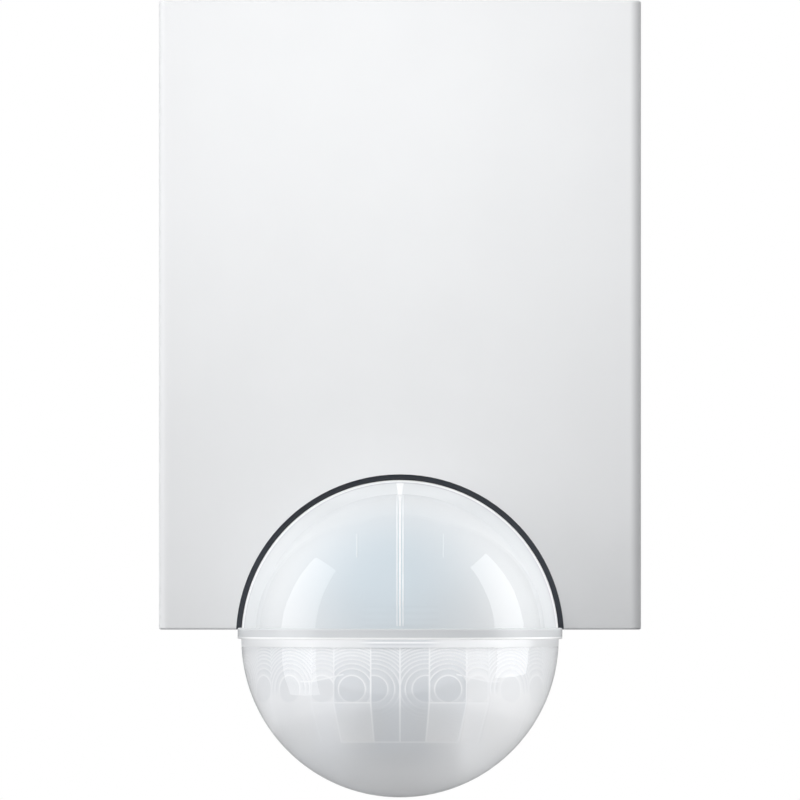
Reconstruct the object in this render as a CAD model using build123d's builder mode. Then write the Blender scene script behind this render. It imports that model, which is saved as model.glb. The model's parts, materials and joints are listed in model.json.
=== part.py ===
from build123d import *
from math import cos, radians, sin, sqrt, tan
import os

# Wall-mounted motion sensor: a flat housing with a detector head that swivels in a socket.
# Millimetres. The wall is the plane Y = 0, the front faces -Y and +Z is up.
# The origin is the centre of the housing's wall face.

# ---------------------------------------------------------------- driving dimensions
# Housing cover
housing_width = 92.0
housing_height = 120.0
housing_depth = 44.0
cover_wall = 2.2
cover_side_radius = 2.0
cover_end_radius = 0.4
cover_rear_gap = 0.5
seat_gap = 0.1

# Base plate
base_gap = 0.3
base_wall = 2.5
base_rim_wall = 2.0
base_rim_depth = 12.0
base_corner_radius = 1.5
wall_seal_inset = 1.5
wall_seal_width = 2.2
wall_seal_depth = 1.2
cover_seal_depth = 2.0
ledge_width = 3.0
ledge_depth = 1.5

# Fixing to the wall
wall_screw_inset_x = 6.5
wall_screw_inset_z = 13.5
wall_hole_radius = 2.3
wall_boss_radius = 4.0
wall_boss_depth = 4.0
entry_height = -12.0
entry_radius = 4.5
grommet_wall = 2.4
grommet_flange = 2.0
grommet_flange_depth = 1.5
box_slot_spacing = 60.0
box_slot_length = 10.0

# Hooks at the top of the cover and screws at its foot
hook_x = 25.0
hook_width = 6.0
hook_thickness = 2.0
hook_reach = 6.0
barb_length = 1.5
barb_height = 1.4
hook_gap = 0.3
foot_screw_inset = 7.0
foot_screw_depth = 8.0
foot_boss_width = 5.0
foot_boss_height = 7.5
foot_screw_length = 8.0

# Screws
screw_radius = 1.45
small_screw_radius = 1.0
screw_hole_gap = 0.05
screw_head_ratio = 1.9
screw_head_height = 1.4
drive_width = 0.5

# Setting dials on the underside
dial_spacing = 22.0
dial_depth = 7.6
dial_radius = 4.0
dial_gap = 0.2
dial_face = 2.4
dial_sink = 0.2
dial_collar_radius = 2.4
dial_collar_height = 2.4
dial_slot_width = 1.0
dial_slot_depth = 1.2
stem_radius = 1.5
stem_gap = 0.05
panel_side_room = 4.0
panel_depth = 13.5
panel_gap = 0.3

# Boards
board_thickness = 1.6
control_board_width = 60.0
control_board_depth = 10.0
control_board_height = 10.0
board_ledge_width = 4.0
board_ledge_height = 5.0
trimmer_width = 7.0
trimmer_height = 4.5
trimmer_bore = 3.9
power_board_width = 64.0
power_board_height = 52.0
power_board_centre = 20.0
power_board_depth = 14.0
board_inset = 3.5
board_post_radius = 3.0
relay_size = (12.7, 29.0, 15.7)
relay_place = (-23.0, 26.0)
film_size = (8.5, 18.0, 15.0)
film_place = (-9.0, 34.0)
can_z = 38.0
large_can_x = 4.0
large_can_radius = 5.0
large_can_height = 16.0
small_can_x = 16.0
small_can_radius = 4.0
small_can_height = 12.0
crimp_height = 1.5
crimp_width = 0.8
crimp_depth = 0.4
transformer_place = (5.0, 20.0)
transformer_foot = (16.0, 14.0, 3.0)
transformer_core = (14.0, 6.0, 13.0)
transformer_coil = (10.0, 11.0, 11.0)
varistor_x = -9.0
varistor_z = 17.0
varistor_radius = 5.0
varistor_thickness = 4.0
fuse_x = 28.0
fuse_z = 26.0
fuse_length = 20.0
fuse_glass_radius = 2.3
fuse_cap_radius = 2.6
fuse_cap_length = 5.0
fuse_clip_wall = 0.6
clip_spacing = 16.0
clip_length = 3.0
clip_rise = 7.5
small_parts_x = 19.0
chip_size = (6.6, 10.0, 3.4)
chip_z = 22.0
chip_mark_radius = 0.6
chip_mark_inset = 0.6
resistor_radius = 1.2
resistor_length = 6.5
resistor_z = 8.2
resistor_pitch = 2.8
diode_radius = 1.4
diode_length = 4.8
diode_x = -20.0
diode_z = 8.8
diode_pitch = 4.5

# Mains terminals on the power board
pole_count = 5
pole_pitch = 8.0
terminal_z = 0.0
terminal_height = 12.0
terminal_depth = 13.4
terminal_floor = 1.5
terminal_screw_ratio = 1.4
clamp_width = 5.2
clamp_depth = 6.6
clamp_height = 6.0
clamp_wall = 0.8
clamp_nut = 2.2

# Wiring inside
ribbon_x = 17.0
ribbon_width = 10.0
ribbon_thickness = 0.4
ribbon_depth = 11.0
cable_radius = 1.3
cable_end_gap = 0.2
neck_slot_width = 4.2
neck_slot_length = 11.0
connector_gap = 0.3
connector_y = -1.0
connector_width = 5.0
connector_length = 8.0
connector_height = 4.5
plug_socket_z = 9.5
plug_socket_width = 6.0
plug_socket_height = 12.0
plug_socket_depth = 7.0

# Ball head
ball_radius = 30.25
ball_drop = 1.7
dome_wall = 1.1
hood_gap = 0.15
hood_wall = 1.2
shell_wall = 1.5
flange_step = 0.7
flange_height = 2.1
shell_split = 7.0
shell_gap = 0.1

# Socket
socket_clearance = 0.3
socket_rear_gap = 1.88
socket_wall = 1.8
socket_lug_width = 7.0
socket_lug_thickness = 1.5
socket_boss_radius = 3.0
socket_boss_height = 5.0

# Neck and swivel
neck_angle = 45.0
neck_radius = 4.0
neck_bore = 2.5
neck_flange_radius = 11.5
neck_flange_thickness = 2.0
neck_pad = 3.0
neck_screw_circle = 9.2
neck_seal_radius = 6.6
neck_seal_width = 1.8
neck_seal_depth = 1.2
arm_width = 10.0
arm_front = 5.0
arm_rear = 10.0
arm_thickness = 4.8
pan_pin_radius = 2.0
pin_gap = 0.05
press_gap = 0.02
swivel_width = 12.8
swivel_depth = 11.0
swivel_height = 11.6
swivel_gap = 0.2
clip_thickness = 0.6
cheek_thickness = 3.6
cheek_radius = 4.5
tilt_pin_radius = 1.75
web_thickness = 2.8
web_inner = 9.2
web_height = 10.0
spigot_radius = 3.5
hub_radius = 6.0
hub_length = 5.8
roll_washer_thickness = 1.0

# Head interior
deck_thickness = 1.4
deck_gap = 0.15
swing_room = 2.4
deck_rear_rim = 6.6
head_board_height = 2.4
head_board_room = 2.2
lug_radius = 3.4
lug_overlap = 0.25
lug_height = 5.0
lens_lug_azimuths = (-95, -60, 60, 95)
rear_lug_azimuths = (-150, 150)
head_post_inset = 6.6
head_post_spacing_y = 18.0
head_board_step = 0.8
roll_screw_room = 3.2
roll_screw_length = 6.0
window_width = 27.4
window_length = 26.8
window_corner = 4.5
window_drop = 7.5
flange_edge_radius = 0.25
head_seal_room = 0.75
head_seal_width = 0.8
head_seal_depth = 0.7
carrier_side_rim = 1.4
carrier_top = 9.4
carrier_lens_room = 2.85
carrier_sector = 55.0
sensor_radius = 4.1
sensor_rim_radius = 4.6
sensor_rim = 0.5
sensor_height = 4.2
sensor_sink = 3.2
sensor_window_width = 5.2
sensor_window_height = 4.2
sensor_window_depth = 0.3
carrier_post_radius = 1.6
carrier_pin_radius = 0.9
carrier_post_room = 1.8
carrier_post_y = 2.0
guide_width = 11.0
guide_height = 3.0
guide_foot = 3.0
guide_reach = 2.0
led_inset = 1.6
led_size = (3.2, 2.0)
led_height = 1.6
led_dome_radius = 0.8
light_sensor_radius = 1.6
light_sensor_height = 2.4

# Lens cells: latitude lines below the equator, and upright lines either side of the middle
cell_latitudes = (23.3, 39.6, 59.6)
cell_azimuths = (0.0, 10.6, 24.6, 35.5, 54.5, 72.0, 90.0)
cell_line_width = 0.3
cell_line_depth = 0.25
cell_line_start = 12.0

# ---------------------------------------------------------------- worked out from them
half_height = housing_height / 2
ball_z = -(half_height + ball_drop)
cover_inner_width = housing_width - 2 * cover_wall
cover_inner_height = housing_height - 2 * cover_wall
front_inner = housing_depth - cover_wall
base_width = cover_inner_width - 2 * base_gap
base_height = cover_inner_height - 2 * base_gap
wall_screw_spacing_x = base_width - 2 * wall_screw_inset_x
wall_screw_spacing_z = base_height - 2 * wall_screw_inset_z
foot_screw_x = housing_width / 2 - foot_screw_inset
panel_width = 2 * (foot_screw_x - panel_side_room)
rim_inner_width = base_width - 2 * base_rim_wall
rim_inner_height = base_height - 2 * base_rim_wall
ledge_start = base_rim_depth + cover_seal_depth
flange_radius = ball_radius + flange_step
flange_sweep = sqrt(flange_radius**2 + flange_height**2)
socket_radius = flange_sweep + socket_clearance
socket_outer = socket_radius + socket_wall
ball_y = -(base_rim_depth + cover_seal_depth + socket_rear_gap + socket_outer)
dome_inner = ball_radius - dome_wall
hood_outer = dome_inner - hood_gap
hood_inner = hood_outer - hood_wall
shell_inner = ball_radius - shell_wall
deck_radius = shell_inner - deck_gap
neck_pad_top = socket_outer + neck_pad
socket_screw_circle = socket_outer + socket_boss_radius + seat_gap
socket_lug_plane = front_inner - socket_boss_height
block_top = swivel_height / 2
arm_bottom = block_top + swivel_gap
arm_top = arm_bottom + arm_thickness
cheek_start = swivel_width / 2 + swivel_gap
cradle_half = cheek_start + cheek_thickness
web_front = web_inner + web_thickness
hub_start = web_front + seat_gap
hub_end = hub_start + hub_length
deck_opening = 2 * (cradle_half + swing_room)
deck_opening_rear = deck_radius - deck_rear_rim
head_board_radius = hood_inner - head_board_room
head_board_opening = deck_opening + 2 * head_board_step
head_post_spacing_x = 2 * (head_board_radius - head_post_inset)
lug_circle = shell_inner - lug_radius + lug_overlap
head_seal_radius = shell_inner + head_seal_room
led_circle = head_board_radius - led_inset
connector_x = -(head_board_opening + connector_width) / 2 - connector_gap
carrier_post_x = cradle_half + carrier_post_radius + carrier_post_room
carrier_face = carrier_post_x + carrier_side_rim
carrier_corner = carrier_face / cos(radians(carrier_sector / 2))
carrier_bottom = sqrt(shell_inner**2 - carrier_corner**2) - carrier_lens_room
carrier_height = carrier_bottom - carrier_top
sensor_seat = carrier_face - sensor_sink
sensor_drop = carrier_top + carrier_height / 2
carrier_posts = [(-carrier_post_x, carrier_post_y), (carrier_post_x, carrier_post_y)]
board_front = power_board_depth + board_thickness
stem_top = cover_wall + control_board_height - trimmer_height + trimmer_bore - 0.2
cell_line_drop = shell_inner * sin(radians(cell_latitudes[-1]))
dome_half = (3 * ball_radius, 3 * ball_radius, 3 * ball_radius)
grommet_radius = entry_radius + grommet_wall
control_board_z = -half_height + cover_wall + control_board_height
dial_places = [(step * dial_spacing, -dial_depth) for step in (-1, 0, 1)]
dial_names = ["time_dial", "lux_dial", "range_dial"]
sensor_azimuths = [(index - 1.5) * carrier_sector for index in range(4)]
sensor_names = [
    "pyro_sensor_left_side",
    "pyro_sensor_left_front",
    "pyro_sensor_right_front",
    "pyro_sensor_right_side",
]
board_post_x = power_board_width / 2 - board_inset
board_post_z = power_board_height / 2 - board_inset
board_posts = [
    (side * board_post_x, power_board_centre + end * board_post_z)
    for side in (-1, 1)
    for end in (-1, 1)
]
wall_seal_span = base_width - 2 * wall_seal_inset
wall_seal_rise = base_height - 2 * wall_seal_inset
ledge_ring_width = cover_inner_width - 2 * ledge_width
ledge_ring_height = cover_inner_height - 2 * ledge_width
foot = (Align.CENTER, Align.CENTER, Align.MIN)
hang = (Align.CENTER, Align.CENTER, Align.MAX)
back_edge = (Align.CENTER, Align.MIN)
front_edge = (Align.CENTER, Align.MAX)

os.makedirs("parts", exist_ok=True)


# ---------------------------------------------------------------- planes and repeated pieces
def wall_plane(depth):
    """Plane parallel to the wall, depth in front of it: x right, y up, normal to the front."""
    return Plane(origin=(0, -depth, 0), x_dir=(1, 0, 0), z_dir=(0, -1, 0))


def ball_level(height):
    """Level plane, height above the ball's centre: x right, y to the wall."""
    return Plane(origin=(0, ball_y, ball_z + height))


def ball_front(distance, height=0.0):
    """Upright plane, distance in front of the ball's centre: x right, y up."""
    return Plane(origin=(0, ball_y - distance, ball_z + height), x_dir=(1, 0, 0), z_dir=(0, -1, 0))


def ball_side(distance):
    """Upright plane, distance to the right of the ball's centre: x to the wall, y up."""
    return Plane(origin=(distance, ball_y, ball_z), x_dir=(0, 1, 0), z_dir=(1, 0, 0))


def neck_plane(reach, angle=neck_angle):
    """Plane across the neck, reach from the ball's centre: x right, y to the wall and down."""
    rise = sin(radians(angle))
    back = cos(radians(angle))
    origin = (0, ball_y + reach * back, ball_z + reach * rise)
    return Plane(origin=origin, x_dir=(1, 0, 0), z_dir=(0, back, rise))


def sector_plane(azimuth, distance, height):
    """Upright plane facing outward at an azimuth from the front, seen from the ball's centre."""
    across = sin(radians(azimuth))
    ahead = -cos(radians(azimuth))
    origin = (distance * across, ball_y + distance * ahead, ball_z + height)
    return Plane(origin=origin, x_dir=(-ahead, across, 0), z_dir=(across, ahead, 0))


def on_board(x, z):
    """Place on the front of the power board, facing the front."""
    return wall_plane(board_front) * Location((x, z))


def around_ball(radius, azimuth):
    """Point on a level circle about the ball's centre, on a ball_level plane."""
    return (radius * sin(radians(azimuth)), -radius * cos(radians(azimuth)))


def pan_screw(radius, length):
    """Pan-head screw: its head stands on Z = 0 and its shank goes down."""
    head_radius = radius * screw_head_ratio
    with BuildPart() as screw:
        Cylinder(head_radius, screw_head_height, align=foot)
        fillet(screw.edges().group_by(Axis.Z)[-1], screw_head_height * 0.4)
        Cylinder(radius, length, align=hang)
        with Locations((0, 0, screw_head_height)):
            Box(head_radius * 1.2, drive_width, screw_head_height, mode=Mode.SUBTRACT)
            Box(drive_width, head_radius * 1.2, screw_head_height, mode=Mode.SUBTRACT)
    return screw.part


def sunk_screw(radius, length):
    """Countersunk screw: its head is flush with Z = 0 and all of it lies below."""
    head_radius = radius * screw_head_ratio
    with BuildPart() as screw:
        Cylinder(radius, length, align=hang)
        Cone(radius, head_radius, head_radius - radius, align=hang)
        Box(head_radius * 1.2, drive_width, 1.4, mode=Mode.SUBTRACT)
        Box(drive_width, head_radius * 1.2, 1.4, mode=Mode.SUBTRACT)
    return screw.part


def save(builder, name):
    """Label a finished piece and write it."""
    builder.part.label = name
    export_step(builder.part, f"parts/{name}.step")


# ---------------------------------------------------------------- fixed to the wall
with BuildPart() as base_plate:
    with BuildSketch(wall_plane(0)):
        RectangleRounded(base_width, base_height, base_corner_radius)
    extrude(amount=base_rim_depth)
    with BuildSketch(wall_plane(base_wall)):
        Rectangle(rim_inner_width, rim_inner_height)
    extrude(amount=base_rim_depth, mode=Mode.SUBTRACT)
    # Panel for the dials, flush with the cover's underside
    with BuildSketch(wall_plane(0)):
        with Locations((0, -half_height)):
            Rectangle(panel_width, half_height - base_height / 2, align=(Align.CENTER, Align.MIN))
    extrude(amount=panel_depth)
    with Locations(*[(x, y, -half_height) for x, y in dial_places]):
        Cylinder(dial_radius + dial_gap, dial_face + dial_gap, align=foot, mode=Mode.SUBTRACT)
        Cylinder(dial_collar_radius + dial_gap, 3 * cover_wall, align=foot, mode=Mode.SUBTRACT)
    # Wall screw bosses, board posts and the two blocks that take the foot screws
    with BuildSketch(wall_plane(0)):
        with GridLocations(wall_screw_spacing_x, wall_screw_spacing_z, 2, 2):
            Circle(wall_boss_radius)
    extrude(amount=wall_boss_depth)
    with BuildSketch(wall_plane(0)):
        with Locations(*board_posts):
            Circle(board_post_radius)
    extrude(amount=power_board_depth)
    with BuildSketch(wall_plane(0)):
        with GridLocations(2 * foot_screw_x, 1, 2, 1):
            with Locations((0, -base_height / 2)):
                Rectangle(foot_boss_width, foot_boss_height, align=(Align.CENTER, Align.MIN))
    extrude(amount=base_rim_depth)
    # Two ledges that carry the control board
    ledge_x = (control_board_width - board_ledge_width) / 2
    ledge_reach = control_board_depth + base_wall
    with Locations((-ledge_x, 0, control_board_z), (ledge_x, 0, control_board_z)):
        Box(board_ledge_width, ledge_reach, board_ledge_height, align=(Align.CENTER, Align.MAX, Align.MAX))
    with Locations(*[(side * ledge_x, -dial_depth, control_board_z) for side in (-1, 1)]):
        Cylinder(small_screw_radius + screw_hole_gap, 4.5, align=hang, mode=Mode.SUBTRACT)
    # Holes
    with BuildSketch(wall_plane(0)):
        with GridLocations(wall_screw_spacing_x, wall_screw_spacing_z, 2, 2):
            Circle(wall_hole_radius)
        with Locations((0, entry_height)):
            with GridLocations(box_slot_spacing, 1, 2, 1):
                SlotOverall(box_slot_length, 2 * wall_hole_radius)
            Circle(grommet_radius)
    extrude(amount=wall_boss_depth, mode=Mode.SUBTRACT)
    with BuildSketch(wall_plane(power_board_depth)):
        with Locations(*board_posts):
            Circle(small_screw_radius + screw_hole_gap)
    extrude(amount=-8, mode=Mode.SUBTRACT)
    with Locations(*[(side * foot_screw_x, -foot_screw_depth, -half_height) for side in (-1, 1)]):
        Cylinder(screw_radius + screw_hole_gap, foot_screw_length + 1, align=foot, mode=Mode.SUBTRACT)
    # Slots in the rim for the cover's hooks
    with Locations(*[(side * hook_x, -hook_reach + hook_gap, base_height / 2) for side in (-1, 1)]):
        Box(
            hook_width + 2 * hook_gap,
            barb_length + 2 * hook_gap,
            2 * base_rim_wall,
            align=(Align.CENTER, Align.MAX, Align.CENTER),
            mode=Mode.SUBTRACT,
        )
    # Groove for the wall seal
    with BuildSketch(wall_plane(0)):
        RectangleRounded(wall_seal_span, wall_seal_rise, base_corner_radius)
        offset(amount=-wall_seal_width, kind=Kind.INTERSECTION, mode=Mode.SUBTRACT)
    extrude(amount=wall_seal_depth, mode=Mode.SUBTRACT)
save(base_plate, "base_plate")

with BuildPart() as wall_seal:
    with BuildSketch(wall_plane(0)):
        RectangleRounded(wall_seal_span, wall_seal_rise, base_corner_radius)
        offset(amount=-wall_seal_width, kind=Kind.INTERSECTION, mode=Mode.SUBTRACT)
    extrude(amount=wall_seal_depth)
save(wall_seal, "wall_seal")

with BuildPart() as cover_seal:
    with BuildSketch(wall_plane(base_rim_depth)):
        RectangleRounded(base_width, base_height, base_corner_radius)
        Rectangle(rim_inner_width, rim_inner_height, mode=Mode.SUBTRACT)
    extrude(amount=cover_seal_depth)
save(cover_seal, "cover_seal")

with BuildPart() as rear_cable_grommet:
    with BuildSketch(wall_plane(seat_gap)):
        with Locations((0, entry_height)):
            Circle(grommet_radius - screw_hole_gap)
    extrude(amount=base_wall - seat_gap)
    with BuildSketch(wall_plane(base_wall)):
        with Locations((0, entry_height)):
            Circle(grommet_radius + grommet_flange)
    extrude(amount=grommet_flange_depth)
    fillet(rear_cable_grommet.edges().group_by(Axis.Y)[0], 0.5)
    with BuildSketch(wall_plane(0)):
        with Locations((0, entry_height)):
            Circle(entry_radius)
    extrude(amount=base_wall + grommet_flange_depth, mode=Mode.SUBTRACT)
save(rear_cable_grommet, "rear_cable_grommet")

# ---------------------------------------------------------------- housing cover
with BuildPart() as housing_cover:
    with BuildSketch(Plane.XY.offset(-half_height)) as cover_plan:
        with Locations((0, -cover_rear_gap)):
            Rectangle(housing_width, housing_depth - cover_rear_gap, align=(Align.CENTER, Align.MAX))
        fillet(cover_plan.vertices().group_by(Axis.Y)[0], cover_side_radius)
    extrude(amount=housing_height)
    cover_ends = housing_cover.faces().filter_by(Axis.Z).edges()
    fillet(cover_ends.filter_by(lambda edge: edge.center().Y < -cover_rear_gap - 0.01), cover_end_radius)
    with BuildSketch(Plane.XY.offset(-cover_inner_height / 2)) as inner_plan:
        Rectangle(cover_inner_width, front_inner, align=(Align.CENTER, Align.MAX))
        fillet(inner_plan.vertices().group_by(Axis.Y)[0], cover_end_radius)
    extrude(amount=cover_inner_height, mode=Mode.SUBTRACT)
    # Ledge that presses on the seal
    with BuildSketch(wall_plane(ledge_start)):
        Rectangle(cover_inner_width, cover_inner_height)
        Rectangle(ledge_ring_width, ledge_ring_height, mode=Mode.SUBTRACT)
    extrude(amount=ledge_depth)
    # Hooks that reach under the base's top rim
    hook_top = rim_inner_height / 2 - hook_gap
    ledge_end = ledge_start + ledge_depth
    with Locations(*[(side * hook_x, -ledge_end, hook_top) for side in (-1, 1)]):
        Box(hook_width, ledge_end - hook_reach, hook_thickness, align=(Align.CENTER, Align.MIN, Align.MAX))
    with Locations(*[(side * hook_x, -hook_reach, hook_top) for side in (-1, 1)]):
        Box(hook_width, barb_length, barb_height, align=(Align.CENTER, Align.MAX, Align.MIN))
    # Bosses for the socket's screws
    with BuildSketch(wall_plane(socket_lug_plane)):
        with Locations((0, ball_z)):
            with PolarLocations(socket_screw_circle, 3, start_angle=30, angular_range=120, endpoint=True):
                Circle(socket_boss_radius)
    extrude(amount=socket_boss_height)
    with BuildSketch(wall_plane(socket_lug_plane)):
        with Locations((0, ball_z)):
            with PolarLocations(socket_screw_circle, 3, start_angle=30, angular_range=120, endpoint=True):
                Circle(small_screw_radius + screw_hole_gap)
    extrude(amount=socket_boss_height, mode=Mode.SUBTRACT)
    # Round cut-out in front of the ball and a round notch in the floor behind it
    with BuildSketch(wall_plane(front_inner)):
        with Locations((0, ball_z)):
            Circle(socket_radius)
    extrude(amount=2 * cover_wall, mode=Mode.SUBTRACT)
    with BuildSketch(Plane.XY.offset(-half_height)):
        with Locations((0, ball_y)):
            Circle(socket_outer + seat_gap)
        with Locations((0, -front_inner)):
            Rectangle(housing_width, housing_depth, align=(Align.CENTER, Align.MAX), mode=Mode.SUBTRACT)
    extrude(amount=2 * cover_wall, mode=Mode.SUBTRACT)
    # Notch for the dial panel, and countersunk holes for the foot screws
    with Locations((0, 0, -half_height)):
        Box(
            panel_width + 2 * panel_gap,
            panel_depth + panel_gap,
            2 * cover_wall,
            align=(Align.CENTER, Align.MAX, Align.CENTER),
            mode=Mode.SUBTRACT,
        )
    foot_head_radius = screw_radius * screw_head_ratio
    with Locations(*[(side * foot_screw_x, -foot_screw_depth, -half_height) for side in (-1, 1)]):
        Cylinder(screw_radius + seat_gap, cover_wall, align=foot, mode=Mode.SUBTRACT)
        Cone(
            foot_head_radius + seat_gap,
            screw_radius + seat_gap,
            foot_head_radius - screw_radius,
            align=foot,
            mode=Mode.SUBTRACT,
        )
save(housing_cover, "housing_cover")

with BuildPart() as cover_screws:
    foot_places = [(side * foot_screw_x, -foot_screw_depth, -half_height) for side in (-1, 1)]
    with Locations(*[Location(place, (180, 0, 0)) for place in foot_places]):
        add(sunk_screw(screw_radius, foot_screw_length))
save(cover_screws, "cover_screws")

# ---------------------------------------------------------------- socket and neck
with BuildPart() as socket_shell:
    with Locations((0, ball_y, ball_z)):
        Sphere(socket_outer)
    with BuildSketch(neck_plane(socket_radius / 2)):
        Circle(neck_flange_radius)
    extrude(amount=neck_pad_top - socket_radius / 2)
    with BuildSketch(wall_plane(socket_lug_plane - socket_lug_thickness)):
        with Locations((0, ball_z)):
            with PolarLocations(0, 3, start_angle=30, angular_range=120, endpoint=True):
                with Locations((socket_screw_circle / 2, 0)):
                    Rectangle(socket_screw_circle, socket_lug_width)
                with Locations((socket_screw_circle, 0)):
                    Circle(socket_lug_width / 2)
    extrude(amount=socket_lug_thickness)
    with Locations((0, ball_y, ball_z)):
        Sphere(socket_radius, mode=Mode.SUBTRACT)
    with Locations((0, -(front_inner - seat_gap), -half_height)):
        Box(
            housing_width,
            housing_depth,
            housing_height,
            align=(Align.CENTER, Align.MIN, Align.MIN),
            mode=Mode.INTERSECT,
        )
    with BuildSketch(wall_plane(socket_lug_plane - socket_lug_thickness)):
        with Locations((0, ball_z)):
            with PolarLocations(socket_screw_circle, 3, start_angle=30, angular_range=120, endpoint=True):
                Circle(small_screw_radius + screw_hole_gap)
    extrude(amount=socket_lug_thickness, mode=Mode.SUBTRACT)
    # Hole for the neck, groove for its seal and holes for its screws
    with BuildSketch(neck_plane(socket_radius / 2)):
        Circle(neck_radius + seat_gap)
    extrude(amount=socket_outer, mode=Mode.SUBTRACT)
    with BuildSketch(neck_plane(neck_pad_top)):
        Circle(neck_seal_radius + neck_seal_width / 2)
        Circle(neck_seal_radius - neck_seal_width / 2, mode=Mode.SUBTRACT)
    extrude(amount=-neck_seal_depth, mode=Mode.SUBTRACT)
    with BuildSketch(neck_plane(neck_pad_top)):
        with PolarLocations(neck_screw_circle, 3, start_angle=-90):
            Circle(small_screw_radius + screw_hole_gap)
    extrude(amount=-neck_pad, mode=Mode.SUBTRACT)
save(socket_shell, "socket_shell")

socket_screw_length = socket_lug_thickness + socket_boss_height - 1
with BuildPart(wall_plane(socket_lug_plane - socket_lug_thickness)) as socket_screws:
    with Locations((0, ball_z)):
        with PolarLocations(socket_screw_circle, 3, 30, 120, rotate=False, endpoint=True):
            add(Rot(180, 0, 0) * pan_screw(small_screw_radius, socket_screw_length))
save(socket_screws, "socket_screws")

with BuildPart() as neck_seal:
    with BuildSketch(neck_plane(neck_pad_top)):
        Circle(neck_seal_radius + neck_seal_width / 2 - screw_hole_gap)
        Circle(neck_seal_radius - neck_seal_width / 2 + screw_hole_gap, mode=Mode.SUBTRACT)
    extrude(amount=-neck_seal_depth)
save(neck_seal, "neck_seal")

with BuildPart() as neck:
    with BuildSketch(neck_plane(neck_pad_top)):
        Circle(neck_flange_radius)
        with PolarLocations(neck_screw_circle, 3, start_angle=-90):
            Circle(small_screw_radius + screw_hole_gap, mode=Mode.SUBTRACT)
    extrude(amount=neck_flange_thickness)
    tube_start = arm_rear
    with BuildSketch(neck_plane(tube_start)):
        Circle(neck_radius)
    extrude(amount=neck_pad_top + neck_flange_thickness - tube_start)
    with Locations((0, ball_y - arm_front, ball_z + arm_bottom)):
        Box(arm_width, arm_front + arm_rear, arm_thickness, align=(Align.CENTER, Align.MIN, Align.MIN))
    fillet(neck.edges().filter_by(Axis.Z).group_by(Axis.Y)[0], arm_front * 0.6)
    bore_start = tube_start + neck_radius
    with BuildSketch(neck_plane(bore_start)):
        Circle(neck_bore)
    extrude(amount=socket_outer, mode=Mode.SUBTRACT)
    with BuildSketch(neck_plane(bore_start)):
        Rectangle(neck_slot_width, 2 * neck_radius, align=(Align.CENTER, Align.MIN))
    extrude(amount=neck_slot_length, mode=Mode.SUBTRACT)
    with BuildSketch(ball_level(arm_bottom)):
        Circle(pan_pin_radius + press_gap)
    extrude(amount=arm_thickness, mode=Mode.SUBTRACT)
save(neck, "neck")

with BuildPart(neck_plane(neck_pad_top + neck_flange_thickness)) as neck_screws:
    with PolarLocations(neck_screw_circle, 3, start_angle=-90):
        add(pan_screw(small_screw_radius, neck_flange_thickness + neck_pad - 0.5))
save(neck_screws, "neck_screws")

pin_foot = block_top + swivel_gap + clip_thickness + 0.9
with BuildPart() as pan_pin:
    with BuildSketch(ball_level(-pin_foot)):
        Circle(pan_pin_radius)
    extrude(amount=pin_foot + arm_top)
    with BuildSketch(ball_level(arm_top)):
        Circle(pan_pin_radius * 1.6)
    extrude(amount=1.2)
    chamfer(pan_pin.edges().group_by(Axis.Z)[0], 0.3)
    with BuildSketch(ball_level(-block_top - swivel_gap - clip_thickness)):
        Circle(pan_pin_radius + 1)
        Circle(pan_pin_radius * 0.8, mode=Mode.SUBTRACT)
    extrude(amount=clip_thickness, mode=Mode.SUBTRACT)
save(pan_pin, "pan_pin")

with BuildPart() as pan_pin_clip:
    with BuildSketch(ball_level(-block_top - swivel_gap - clip_thickness)):
        Circle(pan_pin_radius * 1.8)
        Circle(pan_pin_radius * 0.8 + screw_hole_gap, mode=Mode.SUBTRACT)
        with Locations((0, pan_pin_radius * 1.5)):
            Rectangle(pan_pin_radius * 1.2, pan_pin_radius * 3, mode=Mode.SUBTRACT)
    extrude(amount=clip_thickness)
save(pan_pin_clip, "pan_pin_clip")

with BuildPart() as swivel_block:
    with BuildSketch(ball_level(-block_top)):
        RectangleRounded(swivel_width, swivel_depth, 2.0)
        Circle(pan_pin_radius + pin_gap, mode=Mode.SUBTRACT)
    extrude(amount=swivel_height)
    with BuildSketch(ball_side(-swivel_width / 2)):
        Circle(tilt_pin_radius + pin_gap)
    extrude(amount=swivel_width, mode=Mode.SUBTRACT)
save(swivel_block, "swivel_block")

with BuildPart() as tilt_cradle:
    for side_start in (-cradle_half, cheek_start):
        with BuildSketch(ball_side(side_start)):
            Circle(cheek_radius)
            Rectangle(web_front, 2 * cheek_radius, align=(Align.MAX, Align.CENTER))
        extrude(amount=cheek_thickness)
    with BuildSketch(ball_front(web_inner)):
        Rectangle(2 * cradle_half, web_height)
    extrude(amount=web_thickness)
    with BuildSketch(ball_front(web_front)):
        Circle(spigot_radius)
    extrude(amount=hub_length + 2 * seat_gap)
    with BuildSketch(ball_front(hub_end + seat_gap)):
        Circle(screw_radius + screw_hole_gap)
    extrude(amount=-roll_screw_length - 1, mode=Mode.SUBTRACT)
    with BuildSketch(ball_side(-cradle_half)):
        Circle(tilt_pin_radius + press_gap)
    extrude(amount=2 * cradle_half, mode=Mode.SUBTRACT)
save(tilt_cradle, "tilt_cradle")

pin_inner = pan_pin_radius + 0.6
with BuildPart() as tilt_pins:
    for pin_start in (-cradle_half, pin_inner):
        with BuildSketch(ball_side(pin_start)):
            Circle(tilt_pin_radius)
        extrude(amount=cradle_half - pin_inner)
save(tilt_pins, "tilt_pins")

with BuildPart() as roll_washer:
    with BuildSketch(ball_front(hub_end + seat_gap)):
        Circle(hub_radius)
        Circle(screw_radius + screw_hole_gap, mode=Mode.SUBTRACT)
    extrude(amount=roll_washer_thickness)
save(roll_washer, "roll_washer")

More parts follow.
